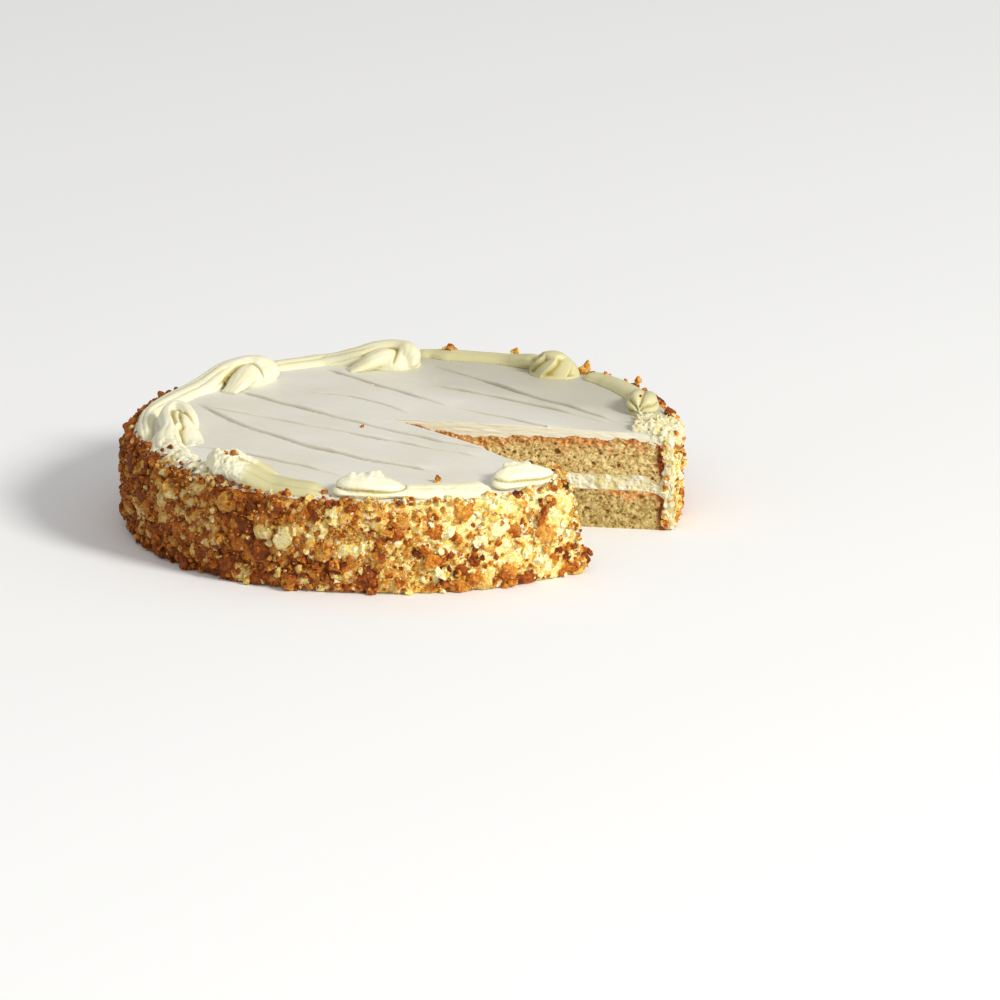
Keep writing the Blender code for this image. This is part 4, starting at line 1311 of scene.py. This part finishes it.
def build_coat():
    start, end = arc_ends(COAT_RADIUS)
    azimuths = np.linspace(start, end, round((end - start) * COAT_RADIUS / COAT_STEP) + 1)
    heights = np.linspace(COAT_FOOT, COAT_TOP + COAT_FOOT, round(COAT_TOP / COAT_STEP))
    azimuth, height = np.meshgrid(azimuths, heights, indexing="ij")
    relief, tone = stamped(azimuths, heights)
    fade = 1.0 - COAT_FADE * np.clip((height - COAT_FADE_START) / COAT_FADE_HEIGHT, 0.0, 1.0)
    radius = np.minimum(coat_radius(azimuth, height) + relief * fade - COAT_SUNK, CAKE_RADIUS - BOX_MARGIN)
    radius -= COAT_PITS * np.abs(noise(raised(polar(radius, azimuth), height), COAT_PIT_SIZE, 75))
    outer = raised(polar(radius, azimuth), height)
    for row, cut in ((0, FAR_CUT), (-1, NEAR_CUT)):
        plain = on_cut(cut, radius[row])
        ragged = EDGE_RAGGED * (1.0 + 0.8 * rough(raised(plain, heights), 3 * MM, 3, 66))
        outer[row, :, :2] = plain + outwards(cut) * ragged[:, None]
    behind = np.linspace(*arc_ends(COAT_INNER_RADIUS), len(azimuths))
    inner = polar(COAT_INNER_RADIUS - 0.2 * MM, behind)[:, None].repeat(2, 1)
    inner = raised(inner, np.array((COAT_TOP + 0.9 * MM, COAT_FOOT)))
    sections = leaned(np.concatenate((outer, inner), 1))
    # The painted shade in the gaps between crumbs, and on the left and the back of the side.
    values = {"tone": tone, "gap": gap_shade(radius, cover(azimuth, height)[1]), "left_back_shade": left_back_shade(azimuth)}
    values = {key: np.pad(value, ((0, 0), (0, inner.shape[1]))) for key, value in values.items()}
    faces, index = tube(*sections.shape[:2])
    faces += [index[0].tolist(), index[-1, ::-1].tolist()]
    coat = mesh_object("side_cream", sections.reshape(-1, 3), faces, values, 60.0)
    dress(coat, crumb_material("cream_and_crumbs", 0.55), "crumb_coat", "side_coat")


CRUMB_SHAPES = 18
CRUST_BROWNER = 0.28
CREAM_PALER = 0.10
FAR_END_REACH = 2.2 * MM
FAR_END_LENGTH = math.radians(14.0)
LOWEST_CRUMB = 1.0 * MM
CRUMB_FLOOR = 0.2 * MM
CRUMBS_OUT = 0.3 * MM
CRUMBS_LEAN_FROM = 41.0 * MM
CRUMBS_LEAN = 0.9


def chunk_shapes(rng, subdivisions, roughness):
    """Irregular lumps about the origin, all with the same triangles: (shapes, verts, 3), triangles."""
    verts, triangles = icosphere(subdivisions)
    shapes = []
    for _ in range(CRUMB_SHAPES):
        place = verts + rng.uniform(-50.0, 50.0, 3)
        shape = verts
        for _ in range(4):
            facet = rng.normal(size=3)
            facet /= np.linalg.norm(facet)
            beyond = np.maximum(shape @ facet - rng.uniform(0.5, 0.8), 0.0)
            shape = shape - beyond[:, None] * facet * 0.8
        swell = noise(place, 0.9, 3) + 0.7 * noise(place, 0.5, 4)
        pits = np.abs(noise(place, 0.42, 5)) if subdivisions > 2 else 0.0
        shapes.append(shape * (1.0 + roughness * (swell - 0.8 * pits))[:, None])
    return np.array(shapes), triangles


def turned(rng, count):
    """Random turns in space, as matrices."""
    quaternion = rng.normal(size=(count, 4))
    quaternion /= np.linalg.norm(quaternion, axis=1)[:, None]
    w, x, y, z = quaternion.T
    return np.stack((
        1 - 2 * (y * y + z * z), 2 * (x * y - w * z), 2 * (x * z + w * y),
        2 * (x * y + w * z), 1 - 2 * (x * x + z * z), 2 * (y * z - w * x),
        2 * (x * z - w * y), 2 * (y * z + w * x), 1 - 2 * (x * x + y * y),
    ), -1).reshape(-1, 3, 3)


def crumb_limit(azimuth):
    """How far out crumbs may reach: a little further beside the far cut, where they are heaped."""
    from_end = azimuth - arc_ends(CAKE_RADIUS)[0]
    return CAKE_RADIUS + FAR_END_REACH * (1.0 - smooth(0.0, FAR_END_LENGTH, from_end)) - BOX_MARGIN


def scatter(name, rng, places, sizes, tones, subdivisions, roughness):
    """One mesh of many crumbs, each brown on one side: places are middles, sizes half widths."""
    shapes, triangles = chunk_shapes(rng, subdivisions, roughness)
    count, verts_each = len(places), shapes.shape[1]
    variant = rng.integers(0, len(shapes), count)
    local = shapes[variant] * rng.uniform(0.6, 1.3, (count, 1, 3)) * sizes[:, None, None]
    local = np.einsum("nij,nvj->nvi", turned(rng, count), local)
    crust = rng.normal(size=(count, 3))
    crust[:, 2] = np.abs(crust[:, 2])
    crust /= np.linalg.norm(crust, axis=1)[:, None]
    facing = np.einsum("nvi,ni->nv", local, crust) / sizes[:, None]
    tone = np.clip(tones[:, None] + CRUST_BROWNER * smooth(0.1, 0.6, facing) - CREAM_PALER, 0.0, 1.0)
    azimuth = np.arctan2(places[:, 1], places[:, 0])
    azimuth = np.where(azimuth < FAR_CUT - 0.02, azimuth + TAU, azimuth)
    verts = places[:, None, :] + local
    limit, reach = crumb_limit(azimuth)[:, None], radius_of(verts)
    verts[..., :2] *= np.where(reach > limit, limit / reach, 1.0)[..., None]
    verts[..., 2] = np.maximum(verts[..., 2], CRUMB_FLOOR)
    # Painted shade on the left and the back of the side, as on the side cream.
    values = {"tone": tone, "left_back_shade": np.repeat(left_back_shade(azimuth), verts_each)}
    return mesh_object(name, verts.reshape(-1, 3), copies(triangles, count, verts_each), values)


def side_places(rng, sizes, sunk, highest):
    """Middles and tones of crumbs on the side cream, sunk in it by this share of their size."""
    start, end = arc_ends(CAKE_RADIUS)
    azimuth = rng.uniform(start + 0.004, end - 0.004, len(sizes))
    height = rng.uniform(LOWEST_CRUMB, highest, len(sizes))
    level = np.minimum(height, COAT_TOP)
    radius = coat_radius(azimuth, level) + sizes * (1.0 - 2.0 * sunk)
    radius += CRUMBS_OUT - np.maximum(height - CRUMBS_LEAN_FROM, 0.0) * CRUMBS_LEAN
    return leaned(raised(polar(radius, azimuth), height)), crumb_tone(rng, azimuth, level)


def heap(rng, count, azimuths, radii, lifts):
    """Middles of crumbs lying on the rim: spans of azimuth (deg), radius and height on the cream (mm)."""
    azimuth = np.radians(rng.uniform(*azimuths, count))
    plan = polar(rng.uniform(*radii, count) * MM, azimuth)
    return leaned(raised(plan, smooth_top(plan) + rng.uniform(*lifts, count) * MM))


def edge_places(rng, cut, count):
    """Middles of crumbs and torn cream along the outer edge of a cut face."""
    height = rng.uniform(2.0, 42.0, count) * MM
    away = between(COAT_PROFILE, height) + rng.uniform(-1.4, 0.9, count) * MM
    spill = rng.uniform(-0.4, 1.3, count)[:, None] * MM
    return leaned(raised(WEDGE_APEX + direction(cut) * away[:, None] + outwards(cut) * spill, height))


# name, how many, smallest and largest half width (mm), sunk, subdivisions, roughness, highest (mm)
CRUMB_KINDS = (
    ("sponge_chunks", 58, 3.0, 5.4, 0.66, 4, 0.42, 39.0),
    ("large_crumbs", 390, 1.7, 3.4, 0.60, 3, 0.52, 41.5),
    ("small_crumbs", 950, 0.9, 1.9, 0.55, 2, 0.52, 43.5),
    ("fine_crumbs", 2200, 0.35, 0.75, 0.36, 1, 0.40, 43.5),
    ("baked_granules", 760, 0.6, 1.7, 0.36, 2, 0.46, 44.0),
)
LOOSE_CRUMBS = (  # x, y, height, half width (mm), tone
    (-18.0, -16.5, 46.9, 1.3, 0.56),
    (15.2, -102.7, 45.9, 2.5, 0.60),
    (-34.4, -111.8, 43.8, 2.0, 0.66),
    (108.6, 4.4, 53.4, 1.2, 0.56),
    (23.2, 111.6, 48.5, 2.4, 0.56),
    (53.0, 106.0, 47.8, 2.8, 0.36),
    (85.5, 80.6, 46.2, 3.2, 0.57),
    (95.7, 65.8, 46.2, 2.4, 0.46),
    (109.3, 57.8, 46.0, 2.2, 0.60),
    (61.8, -109.5, 30.1, 4.8, 0.60),
    (80.4, -95.6, 7.0, 3.2, 0.74),
    (82.6, -94.2, 9.0, 2.4, 0.66),
    (79.6, -96.2, 11.4, 2.2, 0.80),
    (79.2, -97.4, 4.2, 2.6, 0.62),
)
RIM_HEAPS = (  # how many, azimuths (deg), radii and lifts (mm)
    (76, (302.5, 307.4), (112.0, 124.0), (0.2, 3.6)),
    (80, (-11.5, 8.0), (122.0, 127.0), (-1.5, 1.4)),
    (50, (20.0, 60.0), (121.0, 124.5), (-0.4, 1.3)),
    (250, (148.0, 236.0), (119.0, 125.5), (-0.3, 2.3)),
    (60, (196.0, 218.0), (113.0, 122.0), (0.4, 2.6)),
    (80, (236.0, 302.0), (121.5, 125.0), (-0.6, 1.2)),
    (5, (223.5, 227.5), (109.0, 112.5), (8.0, 9.2)),
    (34, (-12.0, -3.0), (114.0, 125.0), (0.6, 2.8)),
)
EDGE_CRUMBS = ((NEAR_CUT, 56), (FAR_CUT, 44))
BACK = np.radians((60.0, 345.0))


def rim_crumbs(rng):
    """Middles, sizes and tones of the crumbs on the rim and along the edges of the cuts."""
    heaps = [heap(rng, *span) for span in RIM_HEAPS]
    edges = [edge_places(rng, cut, count) for cut, count in EDGE_CRUMBS]
    places = np.concatenate(heaps + edges)
    sizes = (0.6 + 1.3 * rng.random(len(places)) ** 1.7) * MM
    azimuth = np.arctan2(places[:, 1], places[:, 0]) % TAU
    tones = crumb_tone(rng, azimuth, np.full(len(places), 36 * MM))
    at_back = (azimuth < BACK[0]) | (azimuth > BACK[1])
    tones[at_back] = rng.uniform(0.15, 0.66, at_back.sum())
    on_edge = sum(count for _, count in EDGE_CRUMBS)
    tones[-on_edge:] = rng.uniform(0.0, 0.75, on_edge)
    return places, sizes, tones


def build_crumbs():
    rng = np.random.default_rng(17)
    material = crumb_material("cake_crumbs", 0.6)
    loose = np.array(LOOSE_CRUMBS)
    for name, count, small, large, sunk, subdivisions, roughness, top in CRUMB_KINDS:
        sizes = (small + (large - small) * rng.random(count) ** 1.5) * MM
        places, tones = side_places(rng, sizes, sunk, top * MM)
        if name == "large_crumbs":
            places = np.concatenate((places, loose[:, :3] * MM))
            sizes = np.concatenate((sizes, loose[:, 3] * MM))
            tones = np.concatenate((tones, loose[:, 4]))
        if name == "baked_granules":
            dense = cover(np.arctan2(places[:, 1], places[:, 0]), places[:, 2])[1]
            tones = rng.uniform(0.58, 0.88, count) * (0.68 + 0.32 * dense)
        crumbs = scatter(name, rng, places, sizes, tones, subdivisions, roughness)
        dress(crumbs, material, "crumb_coat")
    dress(scatter("rim_crumbs", rng, *rim_crumbs(rng), 2, 0.48), material, "crumb_coat")


# ---------------------------------------------------------------- materials

SCATTER_REACH = (2.0 * MM, 1.4 * MM, 0.8 * MM)


def linear(red, green, blue):
    """A colour given as it shows on screen, 0 to 255, as the shader's light values."""
    values = []
    for value in (red, green, blue):
        share = value / 255.0
        values.append(share / 12.92 if share <= 0.04045 else ((share + 0.055) / 1.055) ** 2.4)
    return (*values, 1.0)


class Nodes:
    """Short calls to lay out a material's node tree."""

    def __init__(self, name):
        self.material = bpy.data.materials.new(name)
        self.material.use_nodes = True
        self.tree = self.material.node_tree
        self.shader = self.tree.nodes["Principled BSDF"]
        self.place = self.tree.nodes.new("ShaderNodeTexCoord").outputs["Object"]

    def join(self, node, inputs):
        """Gives a node's inputs their numbers, or the sockets that they come from."""
        for name, value in inputs.items():
            if hasattr(value, "is_output"):
                self.tree.links.new(value, node.inputs[name])
            else:
                node.inputs[name].default_value = value

    def add(self, kind, output, inputs, **settings):
        node = self.tree.nodes.new("ShaderNode" + kind)
        for name, value in settings.items():
            setattr(node, name, value)
        self.join(node, inputs)
        return node.outputs[output]

    def noise(self, size, detail=3.0, rough=0.55, place=None, output="Fac"):
        inputs = {"Vector": place or self.place, "Scale": 1.0 / size, "Detail": detail, "Roughness": rough}
        return self.add("TexNoise", output, inputs)

    def cells(self, size, feature="F1", place=None):
        inputs = {"Vector": place or self.place, "Scale": 1.0 / size}
        return self.add("TexVoronoi", "Distance", inputs, feature=feature)

    def warped(self, size, amount):
        """Coordinates pushed about by noise of this size, for cells that aren't straight-edged."""
        push = self.noise(size, 2.0, 0.5, output="Color")
        inputs = {0: push, 1: (amount, amount, amount), 2: self.place}
        return self.add("VectorMath", "Vector", inputs, operation="MULTIPLY_ADD")

    def ramp(self, value, stops):
        node = self.tree.nodes.new("ShaderNodeValToRGB")
        elements = node.color_ramp.elements
        for element, (place, colour) in zip(elements, (stops[0], stops[-1])):
            element.position, element.color = place, colour
        for place, colour in stops[1:-1]:
            elements.new(place).color = colour
        self.join(node, {"Fac": value})
        return node.outputs["Color"]

    def stretched(self, along, scale):
        """Coordinates squeezed along one level direction, for streaks that run that way."""
        inputs = {"Angle": -math.atan2(along[1], along[0]), "Vector": self.place}
        turned = self.add("VectorRotate", "Vector", inputs, rotation_type="Z_AXIS")
        return self.add("Mapping", "Vector", {"Scale": (scale, 1.0, 1.0), "Vector": turned})

    def value(self, name):
        return self.add("Attribute", "Fac", {}, attribute_name=name)

    def span(self, value, low, high, to_low=0.0, to_high=1.0):
        inputs = {"Value": value, "From Min": low, "From Max": high, "To Min": to_low, "To Max": to_high}
        return self.add("MapRange", "Result", inputs)

    def math(self, operation, a, b, clamp=True):
        return self.add("Math", "Value", {0: a, 1: b}, operation=operation, use_clamp=clamp)

    def mix(self, share, first, second):
        return self.add("Mix", "Result", {"Factor": share, "A": first, "B": second}, data_type="RGBA")

    def over(self, base, share, part, red, green, blue):
        """The base with this part of a colour where the share is 1."""
        return self.mix(self.math("MULTIPLY", share, part), base, linear(red, green, blue))

    def bump(self, height, distance, strength=1.0, under=None):
        inputs = {"Distance": distance, "Strength": strength, "Height": height}
        if under is not None:
            inputs["Normal"] = under
        return self.add("Bump", "Normal", inputs)

    def finish(self, colour, roughness, normal, scatter=0.0):
        self.join(self.shader, {"Base Color": colour, "Roughness": roughness, "Normal": normal})
        if scatter:
            self.join(self.shader, {
                "Subsurface Weight": scatter,
                "Subsurface Radius": SCATTER_REACH,
                "Subsurface Scale": 1.0,
            })
        return self.material


def sponge_material(name, dark, light):
    nodes = Nodes(name)
    grain = nodes.noise(1.0 * MM, 5.0, 0.65)
    cells = nodes.cells(1.25 * MM, "DISTANCE_TO_EDGE", nodes.warped(0.5 * MM, 0.9 * MM))
    patch = nodes.noise(6 * MM, 3.0)
    blotch = nodes.noise(2.3 * MM, 3.0, 0.6)
    base = nodes.mix(nodes.span(grain, 0.40, 0.60), dark, light)
    base = nodes.mix(nodes.span(patch, 0.38, 0.68, 0.0, 0.5), base, dark)
    base = nodes.mix(nodes.span(blotch, 0.50, 0.62, 0.0, 0.75), base, light)
    # Painted shade in the middles of the sponge's cells and in its pores.
    base = nodes.mix(nodes.span(cells, 0.30, 0.55, 0.0, 0.6), base, linear(160, 106, 34))
    base = nodes.mix(nodes.span(nodes.value("pore"), 0.15, 0.9, 0.0, 0.88), base, linear(136, 88, 26))
    shade = nodes.span(nodes.noise(1.5 * MM, 4.0), 0.40, 0.60)
    brown = nodes.mix(shade, linear(178, 98, 32), linear(232, 178, 104))
    speck = nodes.span(nodes.noise(1.7 * MM, 4.0, 0.6), 0.56, 0.62, 0.0, 0.75)
    brown = nodes.mix(speck, brown, linear(240, 222, 176))
    base = nodes.mix(nodes.value("toast"), base, brown)
    shade = nodes.span(nodes.noise(1.8 * MM, 3.0), 0.4, 0.6)
    burnt = nodes.mix(shade, linear(100, 38, 10), linear(172, 92, 38))
    base = nodes.mix(nodes.value("burnt"), base, burnt)
    fine = nodes.bump(grain, 0.45 * MM, 0.9)
    normal = nodes.bump(cells, 0.35 * MM, -0.6, fine)
    nodes.shader.inputs["Specular IOR Level"].default_value = CRUMB_SPECULAR
    return nodes.finish(base, nodes.span(grain, 0.3, 0.7, 0.75, 0.95), normal)


def filling_material():
    nodes = Nodes("fluffy_filling")
    patch = nodes.noise(7 * MM, 3.0)
    base = nodes.mix(nodes.span(patch, 0.42, 0.66), linear(238, 235, 214), linear(226, 212, 150))
    # Painted shade in the hollows of the torn filling.
    base = nodes.mix(nodes.span(nodes.value("hollow"), 0.4, 1.0, 0.0, 0.5), base, linear(206, 186, 112))
    normal = nodes.bump(nodes.noise(0.8 * MM, 4.0), 0.35 * MM, 0.7)
    return nodes.finish(base, nodes.span(patch, 0.3, 0.7, 0.5, 0.7), normal, 0.15)


def top_cream_material():
    nodes = Nodes("spread_cream")
    wide = nodes.noise(38 * MM, 2.0)
    streak = nodes.noise(2.2 * MM, 4.0, 0.6, nodes.stretched(RIDGE_ALONG, 0.09))
    base = nodes.mix(nodes.span(wide, 0.35, 0.7), linear(232, 229, 218), linear(227, 223, 207))
    base = nodes.mix(nodes.span(streak, 0.5, 0.75, 0.0, 0.35), base, linear(219, 214, 196))
    # Painted shade, darker towards the back and the right of the top.
    base = nodes.mix(nodes.value("dull"), base, linear(199, 195, 178))
    # Painted shade in the creases at the feet of the ridges.
    base = nodes.over(base, nodes.value("crease"), 0.66, 166, 156, 112)
    base = nodes.over(base, nodes.value("cut"), 0.85, 238, 234, 210)
    rough = nodes.span(streak, 0.3, 0.7, 0.38, 0.52)
    normal = nodes.bump(streak, 0.12 * MM, 0.5)
    normal = nodes.bump(nodes.noise(1.4 * MM, 2.0), 0.05 * MM, 0.5, normal)
    return nodes.finish(base, rough, normal, 0.2)


def piping_material():
    nodes = Nodes("piped_cream")
    wide = nodes.noise(12 * MM, 2.0)
    base = nodes.mix(nodes.span(wide, 0.35, 0.7), linear(243, 240, 214), linear(238, 232, 194))
    # Painted shade that turns the swirls olive, most on the back right ones.
    base = nodes.over(base, nodes.value("yellow"), 0.8, 204, 196, 140)
    # Painted shade in the hollows, grooves and seams of the piping.
    base = nodes.mix(nodes.span(nodes.value("hollow"), 0.12, 0.95, 0.0, 0.92), base, linear(178, 160, 74))
    rough = nodes.span(nodes.noise(3 * MM), 0.3, 0.7, 0.36, 0.5)
    normal = nodes.bump(nodes.noise(0.9 * MM, 3.0), 0.06 * MM, 0.5)
    return nodes.finish(base, rough, normal, 0.15)


def torn_material():
    nodes = Nodes("torn_cream")
    patch = nodes.noise(3 * MM, 3.0)
    base = nodes.mix(nodes.span(patch, 0.42, 0.62), linear(230, 227, 200), linear(218, 204, 140))
    golden = nodes.span(nodes.noise(3.4 * MM, 3.0, 0.6), 0.56, 0.64)
    base = nodes.over(base, golden, nodes.value("crumbed"), 220, 152, 72)
    # Painted shade in the hollows of the torn cream.
    base = nodes.mix(nodes.span(nodes.value("hollow"), 0.1, 0.8, 0.0, 0.85), base, linear(186, 158, 78))
    normal = nodes.bump(nodes.noise(0.8 * MM, 4.0), 0.3 * MM, 0.8)
    return nodes.finish(base, 0.5, normal, 0.2)


CRUMB_SPECULAR = 0.22
TONES = (  # tone, colour as it shows on screen
    (0.00, (250, 246, 206)),
    (0.14, (247, 231, 146)),
    (0.30, (236, 202, 96)),
    (0.48, (216, 154, 54)),
    (0.64, (190, 108, 32)),
    (0.80, (150, 70, 17)),
    (1.00, (86, 36, 8)),
)


def crumb_material(name, roughness):
    """Cream, sponge and crust by the tone that each vertex carries, broken up by grain.

    Smears of cream stay white or lemon yellow between the paler crumbs.
    """
    nodes = Nodes(name)
    grain = nodes.noise(0.8 * MM, 4.0, 0.65)
    coarse = nodes.noise(2.4 * MM, 3.0, 0.6)
    shift = nodes.math("ADD", nodes.value("tone"), nodes.span(grain, 0.25, 0.75, -0.18, 0.18), False)
    shift = nodes.math("ADD", shift, nodes.span(coarse, 0.3, 0.7, -0.12, 0.12), False)
    # Painted shade, browner in the gaps between crumbs.
    shift = nodes.math("ADD", shift, nodes.math("MULTIPLY", nodes.value("gap"), 0.42), False)
    base = nodes.ramp(shift, [(tone, linear(*colour)) for tone, colour in TONES])
    pale = nodes.span(nodes.value("tone"), 0.26, 0.54, 0.9, 0.0)
    smear = nodes.span(nodes.noise(1.5 * MM, 4.0, 0.6), 0.54, 0.60)
    lemon = nodes.span(nodes.noise(2.1 * MM, 3.0, 0.6, nodes.warped(3 * MM, 2 * MM)), 0.58, 0.66, 0.0, 0.6)
    base = nodes.over(base, pale, lemon, 246, 226, 120)
    base = nodes.over(base, pale, smear, 251, 248, 226)
    # Painted shade on the left and the back of the side.
    base = nodes.over(base, nodes.value("left_back_shade"), 0.42, 138, 73, 6)
    normal = nodes.bump(nodes.cells(0.75 * MM), 0.35 * MM, 0.7, nodes.bump(grain, 0.35 * MM, 0.8))
    nodes.shader.inputs["Specular IOR Level"].default_value = CRUMB_SPECULAR
    return nodes.finish(base, nodes.span(grain, 0.3, 0.7, roughness - 0.12, roughness + 0.12), normal, 0.12)


# ---------------------------------------------------------------- floor, light and camera

CAMERA_ELEVATION = math.radians(16.15)
CAMERA_ROLL = math.radians(-0.99)
CAMERA_DISTANCE = 30.0 * CAKE_RADIUS
PIXELS_PER_METRE = 284.95 / CAKE_RADIUS
ORIGIN_PIXEL = (403.24, 515.8)
PICTURE_SIZE = 1000.0
SENSOR = 36.0
FLOOR_HALF = 9.0
LIGHTS = (  # name, azimuth, elevation (deg), distance, size (m), power (W), colour
    ("key", -40.0, 31.0, 5.0, 1.3, 216.0, (1.0, 0.98, 0.94)),
    ("fill", -100.0, 40.0, 5.0, 3.0, 24.0, (1.0, 1.0, 1.0)),
)
SKY_COLOUR = (1.0, 0.99, 0.97, 1.0)
SKY_STRENGTH = 0.47


def build_stage():
    corners = FLOOR_HALF * np.array(((-1, -1, 0), (1, -1, 0), (1, 1, 0), (-1, 1, 0)))
    floor = mesh_object("floor", corners, [(0, 1, 2, 3)])
    nodes = Nodes("plain_floor")
    colour = nodes.mix(nodes.noise(0.4, 2.0), linear(250, 251, 252), linear(248, 249, 250))
    floor.data.materials.append(nodes.finish(colour, 0.9, nodes.bump(nodes.noise(0.01), 0.0001, 0.1)))


def area_light(name, azimuth, elevation, distance, size, power, colour):
    light = bpy.data.lights.new(name, "AREA")
    light.shape = "DISK"
    light.size = size
    light.energy = power
    light.color = colour
    level = direction(math.radians(azimuth)) * math.cos(math.radians(elevation))
    back = Vector((*level, math.sin(math.radians(elevation))))
    obj = linked(name, light)
    obj.location = back * distance
    obj.rotation_euler = back.to_track_quat("Z", "Y").to_euler()


def build_light():
    world = bpy.data.worlds.new("studio")
    world.use_nodes = True
    background = world.node_tree.nodes["Background"]
    background.inputs["Color"].default_value = SKY_COLOUR
    background.inputs["Strength"].default_value = SKY_STRENGTH
    bpy.context.scene.world = world
    for light in LIGHTS:
        area_light(*light)
    view = bpy.context.scene.view_settings
    view.view_transform = "Standard"
    view.look = "None"


def build_camera():
    """A distant camera turned, not shifted, until the cake sits where the photograph has it."""
    camera = bpy.data.cameras.new("camera")
    camera.sensor_width = SENSOR
    focal = PIXELS_PER_METRE * CAMERA_DISTANCE
    camera.lens = focal * SENSOR / PICTURE_SIZE
    camera.clip_end = 100.0
    obj = linked("camera", camera)
    back = Vector((0.0, -math.cos(CAMERA_ELEVATION), math.sin(CAMERA_ELEVATION)))
    right = Vector((1.0, 0.0, 0.0))
    up = right.cross(-back)
    cosine, sine = math.cos(CAMERA_ROLL), math.sin(CAMERA_ROLL)
    picture_right = right * cosine + up * sine
    picture_up = up * cosine - right * sine
    middle = 0.5 * PICTURE_SIZE
    across = (middle - ORIGIN_PIXEL[0]) / focal
    rise = (ORIGIN_PIXEL[1] - middle) / focal
    ahead = (-back + picture_right * across + picture_up * rise).normalized()
    side = ahead.cross(picture_up).normalized()
    turn = np.stack((side, side.cross(ahead), -ahead), -1)
    obj.location = back * CAMERA_DISTANCE
    obj.rotation_mode = "QUATERNION"
    obj.rotation_quaternion = Matrix(turn.tolist()).to_quaternion()
    bpy.context.scene.camera = obj


build_layers()
build_swirls()
build_torn_cream()
build_coat()
build_crumbs()
build_stage()
build_light()
build_camera()
